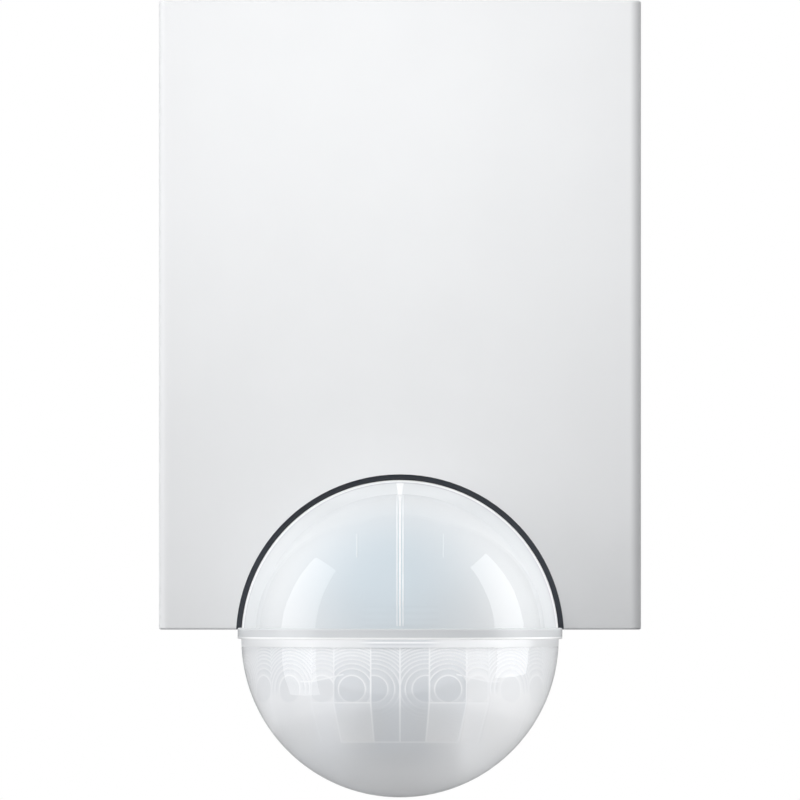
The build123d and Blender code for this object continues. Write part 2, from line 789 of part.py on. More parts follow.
with BuildPart(ball_front(hub_end + seat_gap + roll_washer_thickness)) as roll_screw:
    add(pan_screw(screw_radius, roll_screw_length))
save(roll_screw, "roll_screw")

# ---------------------------------------------------------------- head: chassis and shells
lens_lugs = [around_ball(lug_circle, azimuth) for azimuth in lens_lug_azimuths]
rear_lugs = [around_ball(lug_circle, azimuth) for azimuth in rear_lug_azimuths]
lug_places = lens_lugs + rear_lugs

with BuildPart() as head_chassis:
    with BuildSketch(ball_level(0)):
        Circle(deck_radius)
        with Locations((0, -hub_start)):
            Rectangle(deck_opening, hub_start + deck_opening_rear, align=back_edge, mode=Mode.SUBTRACT)
    extrude(amount=deck_thickness)
    with BuildSketch(ball_front(hub_start)):
        Circle(hub_radius)
    extrude(amount=hub_length)
    with BuildSketch(ball_level(deck_thickness)):
        with GridLocations(head_post_spacing_x, head_post_spacing_y, 2, 2):
            Circle(2 * small_screw_radius)
    extrude(amount=head_board_height - deck_thickness)
    # Room for the roll washer and screw in front of the hub
    with BuildSketch(ball_level(-hub_radius)):
        with Locations((0, -hub_end)):
            Rectangle(2 * hub_radius + 1, roll_screw_room, align=(Align.CENTER, Align.MAX))
    extrude(amount=2 * hub_radius, mode=Mode.SUBTRACT)
    with BuildSketch(ball_front(hub_start)):
        Circle(spigot_radius + pin_gap)
    extrude(amount=hub_length, mode=Mode.SUBTRACT)
    with BuildSketch(ball_level(0)):
        with Locations(*lug_places):
            Circle(small_screw_radius + screw_hole_gap)
        with GridLocations(head_post_spacing_x, head_post_spacing_y, 2, 2):
            Circle(small_screw_radius + screw_hole_gap)
        with Locations(*carrier_posts):
            Circle(carrier_pin_radius + screw_hole_gap)
    extrude(amount=head_board_height, mode=Mode.SUBTRACT)
save(head_chassis, "head_chassis")

with BuildPart(ball_level(deck_thickness)) as deck_screws:
    with Locations(*lug_places):
        add(pan_screw(small_screw_radius, deck_thickness + lug_height - 1))
save(deck_screws, "deck_screws")

with BuildPart() as upper_dome:
    with Locations((0, ball_y, ball_z)):
        Sphere(ball_radius)
    with BuildSketch(ball_level(0)):
        Circle(flange_radius)
    extrude(amount=flange_height)
    fillet(upper_dome.edges().filter_by(GeomType.CIRCLE).sort_by(SortBy.LENGTH)[-2:], flange_edge_radius)
    with Locations((0, ball_y, ball_z)):
        Sphere(dome_inner, mode=Mode.SUBTRACT)
    with Locations((0, ball_y + shell_split, ball_z)):
        Box(*dome_half, align=(Align.CENTER, Align.MAX, Align.MIN), mode=Mode.INTERSECT)
save(upper_dome, "upper_dome")

with BuildPart() as dome_hood:
    with Locations((0, ball_y, ball_z)):
        Sphere(hood_outer)
        Sphere(hood_inner, mode=Mode.SUBTRACT)
    with Locations((0, ball_y + shell_split, ball_z + deck_thickness + seat_gap)):
        Box(*dome_half, align=(Align.CENTER, Align.MAX, Align.MIN), mode=Mode.INTERSECT)
    with BuildSketch(ball_front(hood_inner / 2, guide_foot + guide_height / 2)):
        Rectangle(guide_width + 2 * seat_gap, guide_height + 2 * seat_gap)
    extrude(amount=hood_outer, mode=Mode.SUBTRACT)
save(dome_hood, "dome_hood")

with BuildPart() as light_guide:
    with BuildSketch(ball_front(hood_inner - guide_reach, guide_foot + guide_height / 2)):
        Rectangle(guide_width, guide_height)
    extrude(amount=2 * guide_reach)
    with Locations((0, ball_y, ball_z)):
        Sphere(hood_outer, mode=Mode.INTERSECT)
save(light_guide, "light_guide")

with BuildPart() as rear_shell:
    with Locations((0, ball_y, ball_z)):
        Sphere(ball_radius)
    with BuildSketch(ball_level(0)):
        Circle(flange_radius)
    extrude(amount=flange_height)
    fillet(rear_shell.edges().filter_by(GeomType.CIRCLE).sort_by(SortBy.LENGTH)[-2:], flange_edge_radius)
    with Locations((0, ball_y, ball_z)):
        Sphere(shell_inner, mode=Mode.SUBTRACT)
    with Locations((0, ball_y + shell_split + shell_gap, ball_z)):
        Box(*dome_half, align=(Align.CENTER, Align.MIN, Align.CENTER), mode=Mode.INTERSECT)
    with BuildSketch(ball_level(0)):
        with Locations(*rear_lugs):
            Circle(lug_radius)
    extrude(amount=-lug_height)
    with BuildSketch(ball_level(0)):
        with Locations(*rear_lugs):
            Circle(small_screw_radius + screw_hole_gap)
    extrude(amount=-lug_height, mode=Mode.SUBTRACT)
    # Window that leaves the neck its travel
    with BuildSketch(neck_plane(hood_inner / 2, neck_angle - window_drop)):
        RectangleRounded(window_width, window_length, window_corner)
    extrude(amount=ball_radius, mode=Mode.SUBTRACT)
save(rear_shell, "rear_shell")

# Lines between the lens cells, as shallow grooves in its inner surface
with BuildPart() as cell_lines:
    for latitude in cell_latitudes:
        with Locations((0, ball_y, ball_z - shell_inner * sin(radians(latitude)))):
            Box(2 * ball_radius, 2 * ball_radius, cell_line_width)
    for azimuth in cell_azimuths:
        for side in (-1, 1):
            with Locations(Location((0, ball_y, ball_z), (0, 0, side * azimuth))):
                with Locations((0, -cell_line_start, 0)):
                    Box(
                        cell_line_width,
                        ball_radius,
                        cell_line_drop,
                        align=(Align.CENTER, Align.MAX, Align.MAX),
                    )
    with Locations((0, ball_y, ball_z)):
        Sphere(shell_inner + cell_line_depth, mode=Mode.INTERSECT)

with BuildPart() as lens:
    with Locations((0, ball_y, ball_z)):
        Sphere(ball_radius)
        Sphere(shell_inner, mode=Mode.SUBTRACT)
    with Locations((0, ball_y + shell_split, ball_z)):
        Box(*dome_half, align=(Align.CENTER, Align.MAX, Align.MAX), mode=Mode.INTERSECT)
    add(cell_lines.part, mode=Mode.SUBTRACT)
    with BuildSketch(ball_level(0)):
        with Locations(*lens_lugs):
            Circle(lug_radius)
    extrude(amount=-lug_height)
    with BuildSketch(ball_level(0)):
        with Locations(*lens_lugs):
            Circle(small_screw_radius + screw_hole_gap)
    extrude(amount=-lug_height, mode=Mode.SUBTRACT)
    with BuildSketch(ball_level(0)):
        Circle(head_seal_radius + head_seal_width / 2)
        Circle(head_seal_radius - head_seal_width / 2, mode=Mode.SUBTRACT)
    extrude(amount=-head_seal_depth, mode=Mode.SUBTRACT)
save(lens, "lens")

with BuildPart() as head_seal:
    with BuildSketch(ball_level(0)):
        Circle(head_seal_radius + head_seal_width / 2 - screw_hole_gap)
        Circle(head_seal_radius - head_seal_width / 2 + screw_hole_gap, mode=Mode.SUBTRACT)
        with Locations((0, shell_split)):
            Rectangle(3 * ball_radius, ball_radius, align=(Align.CENTER, Align.MIN), mode=Mode.SUBTRACT)
    extrude(amount=-head_seal_depth)
save(head_seal, "head_seal")

# ---------------------------------------------------------------- head: electronics
with BuildPart() as head_board:
    with BuildSketch(ball_level(head_board_height)):
        Circle(head_board_radius)
        with Locations((0, -hub_start)):
            Rectangle(head_board_opening, 2 * ball_radius, align=back_edge, mode=Mode.SUBTRACT)
            Rectangle(2 * hub_radius + 1, hub_length + roll_screw_room, align=front_edge, mode=Mode.SUBTRACT)
        with Locations(*lug_places):
            Circle(small_screw_radius * screw_head_ratio + base_gap, mode=Mode.SUBTRACT)
        with GridLocations(head_post_spacing_x, head_post_spacing_y, 2, 2):
            Circle(small_screw_radius + screw_hole_gap, mode=Mode.SUBTRACT)
    extrude(amount=board_thickness)
save(head_board, "head_board")

head_board_top = head_board_height + board_thickness
with BuildPart(ball_level(head_board_top)) as head_board_screws:
    with GridLocations(head_post_spacing_x, head_post_spacing_y, 2, 2):
        add(pan_screw(small_screw_radius, head_board_top + 0.5))
save(head_board_screws, "head_board_screws")

with BuildPart() as head_connector:
    with BuildSketch(ball_level(head_board_top)):
        with Locations((connector_x, connector_y)):
            Rectangle(connector_width, connector_length)
    extrude(amount=connector_height)
    chamfer(head_connector.edges().group_by(Axis.Z)[-1], 0.4)
save(head_connector, "head_connector")

with BuildPart() as status_led:
    with BuildSketch(ball_level(head_board_top)):
        with Locations((-guide_width / 4, -led_circle)):
            Rectangle(*led_size)
    extrude(amount=led_height)
    with Locations((-guide_width / 4, ball_y - led_circle, ball_z + head_board_top + led_height)):
        Sphere(led_dome_radius)
save(status_led, "status_led")

with BuildPart() as light_sensor:
    with BuildSketch(ball_level(head_board_top)):
        with Locations((guide_width / 4, -led_circle)):
            Circle(light_sensor_radius)
    extrude(amount=light_sensor_height)
    fillet(light_sensor.edges().group_by(Axis.Z)[-1], light_sensor_radius - 0.6)
save(light_sensor, "light_sensor")

with BuildPart() as sensor_carrier:
    with BuildSketch(ball_level(-carrier_bottom)):
        with BuildLine():
            carrier_corners = [around_ball(carrier_corner, step * carrier_sector) for step in range(-2, 3)]
            Polyline(*carrier_corners, close=True)
        make_face()
    extrude(amount=carrier_height)
    with BuildSketch(ball_level(-carrier_top)):
        with Locations(*carrier_posts):
            Circle(carrier_post_radius)
    extrude(amount=carrier_top)
    with BuildSketch(ball_level(0)):
        with Locations(*carrier_posts):
            Circle(carrier_pin_radius)
    extrude(amount=deck_thickness)
    for azimuth in sensor_azimuths:
        with BuildSketch(sector_plane(azimuth, sensor_seat, -sensor_drop)):
            Circle(sensor_rim_radius + screw_hole_gap)
        extrude(amount=sensor_sink, mode=Mode.SUBTRACT)
save(sensor_carrier, "sensor_carrier")

for name, azimuth in zip(sensor_names, sensor_azimuths):
    with BuildPart() as pyro_sensor:
        with BuildSketch(sector_plane(azimuth, sensor_seat, -sensor_drop)):
            Circle(sensor_rim_radius)
        extrude(amount=sensor_rim)
        with BuildSketch(sector_plane(azimuth, sensor_seat + sensor_rim, -sensor_drop)):
            Circle(sensor_radius)
        extrude(amount=sensor_height)
        with BuildSketch(sector_plane(azimuth, sensor_seat + sensor_rim + sensor_height, -sensor_drop)):
            Rectangle(sensor_window_width + seat_gap, sensor_window_height + seat_gap)
        extrude(amount=-sensor_window_depth, mode=Mode.SUBTRACT)
    save(pyro_sensor, name)

with BuildPart() as pyro_windows:
    for azimuth in sensor_azimuths:
        with BuildSketch(sector_plane(azimuth, sensor_seat + sensor_rim + sensor_height, -sensor_drop)):
            Rectangle(sensor_window_width, sensor_window_height)
        extrude(amount=-sensor_window_depth)
save(pyro_windows, "pyro_windows")

# ---------------------------------------------------------------- dials and control board
for name, (x, y) in zip(dial_names, dial_places):
    with BuildPart() as dial:
        with Locations((x, y, -half_height + dial_sink)):
            Cylinder(dial_radius, dial_face - dial_sink, align=foot)
            fillet(dial.edges().group_by(Axis.Z)[0], 0.3)
        with Locations((x, y, -half_height + dial_face)):
            Cylinder(dial_collar_radius, dial_collar_height, align=foot)
        with Locations((x, y, -half_height + dial_face + dial_collar_height)):
            Cylinder(stem_radius, stem_top - dial_face - dial_collar_height, align=foot)
        with Locations((x, y, -half_height + dial_sink)):
            Box(dial_slot_width, 1.5 * dial_radius, 2 * dial_slot_depth, mode=Mode.SUBTRACT)
        with Locations((x, y - dial_radius * 0.75, -half_height + dial_sink)):
            Box(2 * dial_slot_width, dial_slot_width, dial_slot_depth, mode=Mode.SUBTRACT)
    save(dial, name)

with BuildPart() as control_board:
    with Locations((0, -base_wall - seat_gap, control_board_z)):
        Box(
            control_board_width,
            control_board_depth,
            board_thickness,
            align=(Align.CENTER, Align.MAX, Align.MIN),
        )
    with Locations(*[(side * ledge_x, -dial_depth, control_board_z) for side in (-1, 1)]):
        Cylinder(small_screw_radius + screw_hole_gap, board_thickness, align=foot, mode=Mode.SUBTRACT)
save(control_board, "control_board")

with BuildPart() as trimmers:
    with Locations(*[(x, y, control_board_z) for x, y in dial_places]):
        Box(trimmer_width, trimmer_width, trimmer_height, align=hang)
    fillet(trimmers.edges().filter_by(Axis.Z), 0.4)
    with Locations(*[(x, y, control_board_z - trimmer_height) for x, y in dial_places]):
        Cylinder(stem_radius + stem_gap, trimmer_bore, align=foot, mode=Mode.SUBTRACT)
save(trimmers, "trimmers")

# ---------------------------------------------------------------- power board
with BuildPart() as power_board:
    with BuildSketch(wall_plane(power_board_depth)):
        with Locations((0, power_board_centre)):
            Rectangle(power_board_width, power_board_height)
        with Locations(*board_posts):
            Circle(small_screw_radius + screw_hole_gap, mode=Mode.SUBTRACT)
    extrude(amount=board_thickness)
save(power_board, "power_board")

with BuildPart() as board_screws:
    with Locations(*[wall_plane(board_front) * Location((x, z)) for x, z in board_posts]):
        add(pan_screw(small_screw_radius, board_thickness + 6))
    with Locations(*[(side * ledge_x, -dial_depth, control_board_z + board_thickness) for side in (-1, 1)]):
        add(pan_screw(small_screw_radius, board_thickness + 3.5))
save(board_screws, "board_screws")

with BuildPart() as relay:
    with Locations(on_board(*relay_place)):
        Box(*relay_size, align=foot)
    fillet(relay.edges().group_by(Axis.Y)[0], 0.6)
save(relay, "relay")

with BuildPart() as film_capacitor:
    with Locations(on_board(*film_place)):
        Box(*film_size, align=foot)
    fillet(film_capacitor.edges().group_by(Axis.Y)[0], 0.8)
save(film_capacitor, "film_capacitor")

with BuildPart() as electrolytic_capacitors:
    large_can = (large_can_x, large_can_radius, large_can_height)
    small_can = (small_can_x, small_can_radius, small_can_height)
    for x, radius, height in (large_can, small_can):
        with BuildSketch(wall_plane(board_front)):
            with Locations((x, can_z)):
                Circle(radius)
        extrude(amount=height)
        # Crimp near the foot
        with BuildSketch(wall_plane(board_front + crimp_height)):
            with Locations((x, can_z)):
                Circle(radius)
                Circle(radius - crimp_depth, mode=Mode.SUBTRACT)
        extrude(amount=crimp_width, mode=Mode.SUBTRACT)
save(electrolytic_capacitors, "electrolytic_capacitors")

with BuildPart() as transformer:
    with Locations(on_board(*transformer_place)):
        Box(*transformer_foot, align=foot)
        Box(*transformer_core, align=foot)
        Box(*transformer_coil, align=foot)
save(transformer, "transformer")

with BuildPart() as varistor:
    with Locations(Location((varistor_x, -(board_front + varistor_radius), varistor_z), (0, 90, 0))):
        Cylinder(varistor_radius, varistor_thickness)
    fillet(varistor.edges().filter_by(GeomType.CIRCLE), varistor_thickness / 4)
save(varistor, "varistor")

with BuildPart() as fuse_clips:
    for z in (fuse_z - clip_spacing / 2, fuse_z + clip_spacing / 2):
        with BuildSketch(Plane.XY.offset(z - clip_length / 2)):
            with Locations((fuse_x, -board_front)):
                Rectangle(2 * (fuse_cap_radius + fuse_clip_wall), clip_rise, align=front_edge)
            with Locations((fuse_x, -board_front - fuse_clip_wall)):
                Rectangle(2 * fuse_cap_radius + seat_gap, clip_rise, align=front_edge, mode=Mode.SUBTRACT)
        extrude(amount=clip_length)
save(fuse_clips, "fuse_clips")

fuse_y = -board_front - fuse_clip_wall - fuse_cap_radius - seat_gap
with BuildPart() as fuse:
    with Locations((fuse_x, fuse_y, fuse_z)):
        Cylinder(fuse_glass_radius, fuse_length)
    for z in (fuse_z - fuse_length / 2, fuse_z + fuse_length / 2 - fuse_cap_length):
        with Locations((fuse_x, fuse_y, z)):
            Cylinder(fuse_cap_radius, fuse_cap_length, align=foot)
save(fuse, "fuse")

chip_mark_z = chip_z + chip_size[1] / 2 - chip_mark_inset
with BuildPart() as controller_chip:
    with Locations(on_board(small_parts_x, chip_z)):
        Box(*chip_size, align=foot)
    # Dimple that marks the first pin
    with BuildSketch(wall_plane(board_front + chip_size[2])):
        with Locations((small_parts_x, chip_mark_z)):
            Circle(chip_mark_radius)
    extrude(amount=-chip_mark_radius, mode=Mode.SUBTRACT)
save(controller_chip, "controller_chip")

with BuildPart() as resistors:
    for step in range(3):
        place = (small_parts_x, -(board_front + resistor_radius), resistor_z + resistor_pitch * step)
        with Locations(Location(place, (0, 90, 0))):
            Cylinder(resistor_radius, resistor_length)
    fillet(resistors.edges().filter_by(GeomType.CIRCLE), resistor_radius / 3)
save(resistors, "resistors")

with BuildPart() as diodes:
    for step in range(4):
        with Locations((diode_x + diode_pitch * step, -(board_front + diode_radius), diode_z)):
            Cylinder(diode_radius, diode_length)
save(diodes, "diodes")

with BuildPart() as head_plug_socket:
    with Locations(on_board(fuse_x, plug_socket_z)):
        Box(plug_socket_width, plug_socket_height, plug_socket_depth, align=foot)
    chamfer(head_plug_socket.edges().group_by(Axis.Y)[0], 0.5)
save(head_plug_socket, "head_plug_socket")

# ---------------------------------------------------------------- mains terminals
pole_places = [((index - (pole_count - 1) / 2) * pole_pitch, terminal_z) for index in range(pole_count)]
clamp_front = board_front + terminal_floor + clamp_depth
shaft_radius = small_screw_radius * terminal_screw_ratio * screw_head_ratio + 0.2

with BuildPart() as terminal_block:
    with Locations(on_board(0, terminal_z)):
        Box(pole_count * pole_pitch, terminal_height, terminal_depth, align=foot)
    fillet(terminal_block.edges().group_by(Axis.Y)[0], 0.5)
    # A well for each clamp, open below for the wire, and a shaft for its screw
    for x, z in pole_places:
        with Locations((x, -board_front - terminal_floor, z - terminal_height / 2)):
            Box(
                clamp_width + 2 * seat_gap,
                clamp_depth + seat_gap,
                terminal_height / 2 + clamp_height / 2,
                align=(Align.CENTER, Align.MAX, Align.MIN),
                mode=Mode.SUBTRACT,
            )
    with BuildSketch(wall_plane(clamp_front)):
        with Locations(*pole_places):
            Circle(shaft_radius)
    extrude(amount=terminal_depth, mode=Mode.SUBTRACT)
save(terminal_block, "terminal_block")

with BuildPart() as terminal_clamps:
    for x, z in pole_places:
        with BuildSketch(Plane.XY.offset(z - clamp_height / 2)):
            with Locations((x, -board_front - terminal_floor)):
                Rectangle(clamp_width, clamp_depth, align=(Align.CENTER, Align.MAX))
            with Locations((x, -board_front - terminal_floor - clamp_wall)):
                Rectangle(
                    clamp_width - 2 * clamp_wall,
                    clamp_depth - clamp_wall - clamp_nut,
                    align=(Align.CENTER, Align.MAX),
                    mode=Mode.SUBTRACT,
                )
        extrude(amount=clamp_height)
    with BuildSketch(wall_plane(clamp_front)):
        with Locations(*pole_places):
            Circle(small_screw_radius * terminal_screw_ratio + screw_hole_gap)
    extrude(amount=-clamp_nut, mode=Mode.SUBTRACT)
save(terminal_clamps, "terminal_clamps")

with BuildPart() as terminal_screws:
    with Locations(*[wall_plane(clamp_front + seat_gap) * Location((x, z)) for x, z in pole_places]):
        add(pan_screw(small_screw_radius * terminal_screw_ratio, clamp_nut + 1))
save(terminal_screws, "terminal_screws")

# ---------------------------------------------------------------- wiring
ribbon_top = power_board_centre - power_board_height / 2 + 1
with BuildPart() as control_ribbon:
    with Locations((ribbon_x, -ribbon_depth, control_board_z + board_thickness)):
        Box(
            ribbon_width,
            ribbon_thickness,
            ribbon_top - control_board_z - board_thickness,
            align=(Align.CENTER, Align.MAX, Align.MIN),
        )
    with Locations((ribbon_x, -ribbon_depth, ribbon_top)):
        Box(
            ribbon_width,
            power_board_depth - ribbon_depth,
            ribbon_thickness,
            align=(Align.CENTER, Align.MAX, Align.MAX),
        )
save(control_ribbon, "control_ribbon")


def near_ball(x, y, z):
    """Point given from the ball's centre."""
    return Vector(x, ball_y + y, ball_z + z)


def bend_radii(points):
    """Radius of each bend: as large as the shorter of its two runs allows."""
    radii = []
    for before, corner, after in zip(points, points[1:], points[2:]):
        run_in = corner - before
        run_out = after - corner
        half_turn = radians(run_in.get_angle(run_out) / 2)
        radii.append(0.45 * min(run_in.length, run_out.length) / tan(half_turn))
    return radii


# From the plug on the power board, through the neck, to the connector on the head board
plug_exit_y = -(board_front + plug_socket_depth / 2)
plug_exit_z = plug_socket_z - plug_socket_height / 2 - cable_end_gap
connector_exit_y = connector_y + connector_length / 2 + cable_end_gap
cable_points = [
    Vector(fuse_x, plug_exit_y, plug_exit_z),
    Vector(fuse_x, -20.0, -5.0),
    Vector(20.0, -20.0, -12.0),
    Vector(9.0, -15.0, -16.0),
    neck_plane(53).origin,
    near_ball(0.0, 16.3, 16.0),
    near_ball(0.0, 16.3, 7.6),
    near_ball(-8.0, 17.5, 5.2),
    near_ball(-14.5, 12.5, 6.6),
    near_ball(connector_x + 0.6, connector_exit_y, head_board_top + connector_height / 2),
]
cable_radii = bend_radii(cable_points)
print("cable bends", [round(radius, 1) for radius in cable_radii])
with BuildPart() as head_cable:
    with BuildLine() as cable_route:
        FilletPolyline(*cable_points, radius=cable_radii)
    with BuildSketch(Plane(origin=cable_points[0], z_dir=cable_points[1] - cable_points[0])):
        Circle(cable_radius)
    sweep(path=cable_route.line)
print("cable length", round(sum(edge.length for edge in cable_route.line.edges()), 1))
save(head_cable, "head_cable")
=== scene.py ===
import json
import math

import bmesh
import bpy
import numpy as np
from mathutils import Matrix, Vector


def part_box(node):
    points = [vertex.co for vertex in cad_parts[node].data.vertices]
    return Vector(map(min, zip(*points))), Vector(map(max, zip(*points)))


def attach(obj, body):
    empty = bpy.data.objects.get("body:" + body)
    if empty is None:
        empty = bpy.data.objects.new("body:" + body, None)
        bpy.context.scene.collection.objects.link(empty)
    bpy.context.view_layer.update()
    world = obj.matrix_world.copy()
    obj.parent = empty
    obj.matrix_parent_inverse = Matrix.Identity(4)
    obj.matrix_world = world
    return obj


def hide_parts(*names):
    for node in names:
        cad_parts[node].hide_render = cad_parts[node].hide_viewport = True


# A wall-mounted motion sensor: looks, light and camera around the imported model. Metres, +Z up, front to -Y.

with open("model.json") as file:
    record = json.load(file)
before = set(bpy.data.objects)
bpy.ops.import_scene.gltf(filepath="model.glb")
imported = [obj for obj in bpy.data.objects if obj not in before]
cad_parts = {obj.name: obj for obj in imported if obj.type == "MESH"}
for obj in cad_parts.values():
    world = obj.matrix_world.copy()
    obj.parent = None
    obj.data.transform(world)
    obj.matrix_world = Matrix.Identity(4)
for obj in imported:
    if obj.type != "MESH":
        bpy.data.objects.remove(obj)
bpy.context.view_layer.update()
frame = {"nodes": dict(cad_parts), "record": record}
scene = bpy.context.scene
nodes = frame["nodes"]
MM = 0.001

# ---------------------------------------------------------------- places worked out from the frame
lens_low, lens_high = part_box("lens")
dome_low, dome_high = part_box("upper_dome")
_, hood_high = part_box("dome_hood")
cover_low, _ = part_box("housing_cover")
ball_radius = (lens_high.x - lens_low.x) / 2
flange_radius = (dome_high.x - dome_low.x) / 2
hood_radius = hood_high.z - dome_low.z
ball = Vector((0, lens_low.y + ball_radius, lens_high.z))
split_depth = lens_high.y - ball.y
lens_wall, dome_wall = 1.5 * MM, 1.1 * MM
lens_inner, dome_inner = ball_radius - lens_wall, ball_radius - dome_wall
flange_height, flange_edge = 2.1 * MM, 0.25 * MM
foot_height, foot_edge = 0.4 * MM, 0.08 * MM

# Material numbers of the dome's faces and of the lens's, where 0 is the clear plastic
FLANGE, RIM, SHADOW_LINE, COLLAR, FOOT = 1, 2, 3, 4, 5
CELLS, HIGHLIGHT_LINE, SHADE_LINE, PALE_OVER_SHADOW = 1, 2, 3, 4

# How far in front of the ball's middle the bands of the dome's rim end
RIM_FRONT, SHADOW_LINE_FRONT, COLLAR_FRONT = 5.1 * MM, 6.1 * MM, 12.4 * MM

# Lens cells: where the rows end, in degrees below the lens's rim, and the columns, either side of its middle.
# The columns narrow in row B.
RIM_DROP, ROW_A, ROW_B, ROW_C = 2.8, 24.1, 41.5, 60.0
COLUMNS = (0.0, 11.0, 25.5, 35.1, 56.1, 66.0, 90.0)
COLUMN_TAPER = 0.88
BORDER_WIDTH = 0.13 * MM

# Fresnel rings: the angle down to their middle in row A, in row B, and in row B's second column, where it is
# far above; the middle column's side angle to it; the first ring's radius; and the even step in area
RING_DROP, RING_DROP_B, RING_DROP_FAR = 18.65, ROW_A + 1.5, -12.0
MIDDLE_RING = 9.8
FIRST_RING = 2.65 * MM
RING_STEP = 8.45 * MM**2
RING_DEPTH, BORDER_DEPTH = 0.06 * MM, 0.02 * MM
LINE_WIDTH = 0.17 * MM

# The lines of the lens's lip, painted light and shade: grey shade lines, a white highlight line and a pale
# band over the head seal's shadow; the angle down to where each ends, and its material
LIP_LINES = ((0.72, SHADE_LINE), (1.3, HIGHLIGHT_LINE), (2.0, SHADE_LINE), (RIM_DROP, PALE_OVER_SHADOW))


# ---------------------------------------------------------------- materials
def new_material(slot):
    """A node material with the slot's name, and its Principled shader."""
    material = bpy.data.materials.new(slot)
    material.use_nodes = True
    return material, material.node_tree, material.node_tree.nodes["Principled BSDF"]


def add_node(tree, kind, **settings):
    """A node of that kind, with its properties set."""
    made = tree.nodes.new(kind)
    for name, value in settings.items():
        setattr(made, name, value)
    return made


def noise(tree, size, detail=3.0):
    """Noise whose features are about size metres across, in the frame's own coordinates."""
    coordinates = add_node(tree, "ShaderNodeTexCoord")
    mapping = add_node(tree, "ShaderNodeMapping")
    mapping.inputs["Scale"].default_value = [1 / size] * 3
    texture = add_node(tree, "ShaderNodeTexNoise")
    texture.inputs["Scale"].default_value = 1.0
    texture.inputs["Detail"].default_value = detail
    tree.links.new(coordinates.outputs["Object"], mapping.inputs["Vector"])
    tree.links.new(mapping.outputs["Vector"], texture.inputs["Vector"])
    return texture.outputs["Fac"]


def position(tree, system="Object"):
    """The X, Y and Z outputs of each point's place."""
    coordinates = add_node(tree, "ShaderNodeTexCoord")
    parts = add_node(tree, "ShaderNodeSeparateXYZ")
    tree.links.new(coordinates.outputs[system], parts.inputs["Vector"])
    return parts.outputs


def calculate(tree, operation, *values):
    """A Math node's result. Its values are numbers, or the outputs of other nodes."""
    made = add_node(tree, "ShaderNodeMath", operation=operation)
    for socket, value in zip(made.inputs, values):
        if isinstance(value, (int, float)):
            socket.default_value = value
        else:
            tree.links.new(value, socket)
    return made.outputs[0]


def blend_colours(tree, factor, low, high):
    """A colour that runs from low to high with the factor."""
    ramp = add_node(tree, "ShaderNodeMix", data_type="RGBA")
    ramp.inputs["A"].default_value = (*low, 1)
    ramp.inputs["B"].default_value = (*high, 1)
    tree.links.new(factor, ramp.inputs["Factor"])
    return ramp.outputs["Result"]


def ranged(tree, value, start, end, low=0.0, high=1.0, easing="LINEAR"):
    """A number that goes from low to high while the value goes from start to end."""
    band = add_node(tree, "ShaderNodeMapRange", interpolation_type=easing)
    for socket, number in (("From Min", start), ("From Max", end), ("To Min", low), ("To Max", high)):
        band.inputs[socket].default_value = number
    tree.links.new(value, band.inputs["Value"])
    return band.outputs["Result"]


def spread(tree, factor, low, high):
    """A number that runs from low to high as the noise goes through its middle range."""
    return ranged(tree, factor, 0.3, 0.7, low, high)


def paint_over(material, factor, colour):
    """Lay another colour over the material's own, as far as the factor says."""
    tree = material.node_tree
    shader = tree.nodes["Principled BSDF"]
    own = shader.inputs["Base Color"].links[0].from_socket
    mixed = add_node(tree, "ShaderNodeMix", data_type="RGBA")
    mixed.inputs["B"].default_value = (*colour, 1)
    tree.links.new(factor, mixed.inputs["Factor"])
    tree.links.new(own, mixed.inputs["A"])
    tree.links.new(mixed.outputs["Result"], shader.inputs["Base Color"])
    return material


def roughen(tree, shader, height, depth):
    """A fine relief of that depth in metres."""
    bump = add_node(tree, "ShaderNodeBump")
    bump.inputs["Distance"].default_value = depth
    tree.links.new(height, bump.inputs["Height"])
    tree.links.new(bump.outputs["Normal"], shader.inputs["Normal"])


def moulded(slot, colour, roughness, grain=0.35 * MM, depth=0.006 * MM, tint=0.04, cloud=14 * MM, **sockets):
    """Moulded plastic or rubber: a faint cloud in its colour, a fine grain, and a gloss that follows it."""
    material, tree, shader = new_material(slot)
    low = [max(0.0, part * (1 - tint)) for part in colour]
    high = [min(1.0, part * (1 + tint / 2)) for part in colour]
    clouds = spread(tree, noise(tree, cloud, 2.0), 0.0, 1.0)
    tree.links.new(blend_colours(tree, clouds, low, high), shader.inputs["Base Color"])
    fine = noise(tree, grain, 4.0)
    tree.links.new(spread(tree, fine, roughness - 0.04, roughness + 0.05), shader.inputs["Roughness"])
    roughen(tree, shader, fine, depth)
    for name, value in sockets.items():
        shader.inputs[name.replace("_", " ")].default_value = value
    return material


def metal(slot, colour, roughness, grain=0.25 * MM):
    """Plated metal, whose colour and gloss vary with its grain."""
    material, tree, shader = new_material(slot)
    shader.inputs["Metallic"].default_value = 1.0
    fine = spread(tree, noise(tree, grain, 5.0), 0.0, 1.0)
    low = [part * 0.82 for part in colour]
    tree.links.new(blend_colours(tree, fine, low, colour), shader.inputs["Base Color"])
    gloss = spread(tree, noise(tree, 3 * grain, 3.0), roughness - 0.06, roughness + 0.1)
    tree.links.new(gloss, shader.inputs["Roughness"])
    roughen(tree, shader, fine, 0.003 * MM)
    return material


def striped(slot, colour, stripe, period, share, roughness, axis):
    """Plastic with bands of another colour across an axis, as on resistors, diodes and ribbon cable."""
    material = moulded(slot, colour, roughness)
    tree = material.node_tree
    phase = calculate(tree, "FRACT", calculate(tree, "DIVIDE", position(tree)[axis], period))
    return paint_over(material, calculate(tree, "LESS_THAN", phase, share), stripe)


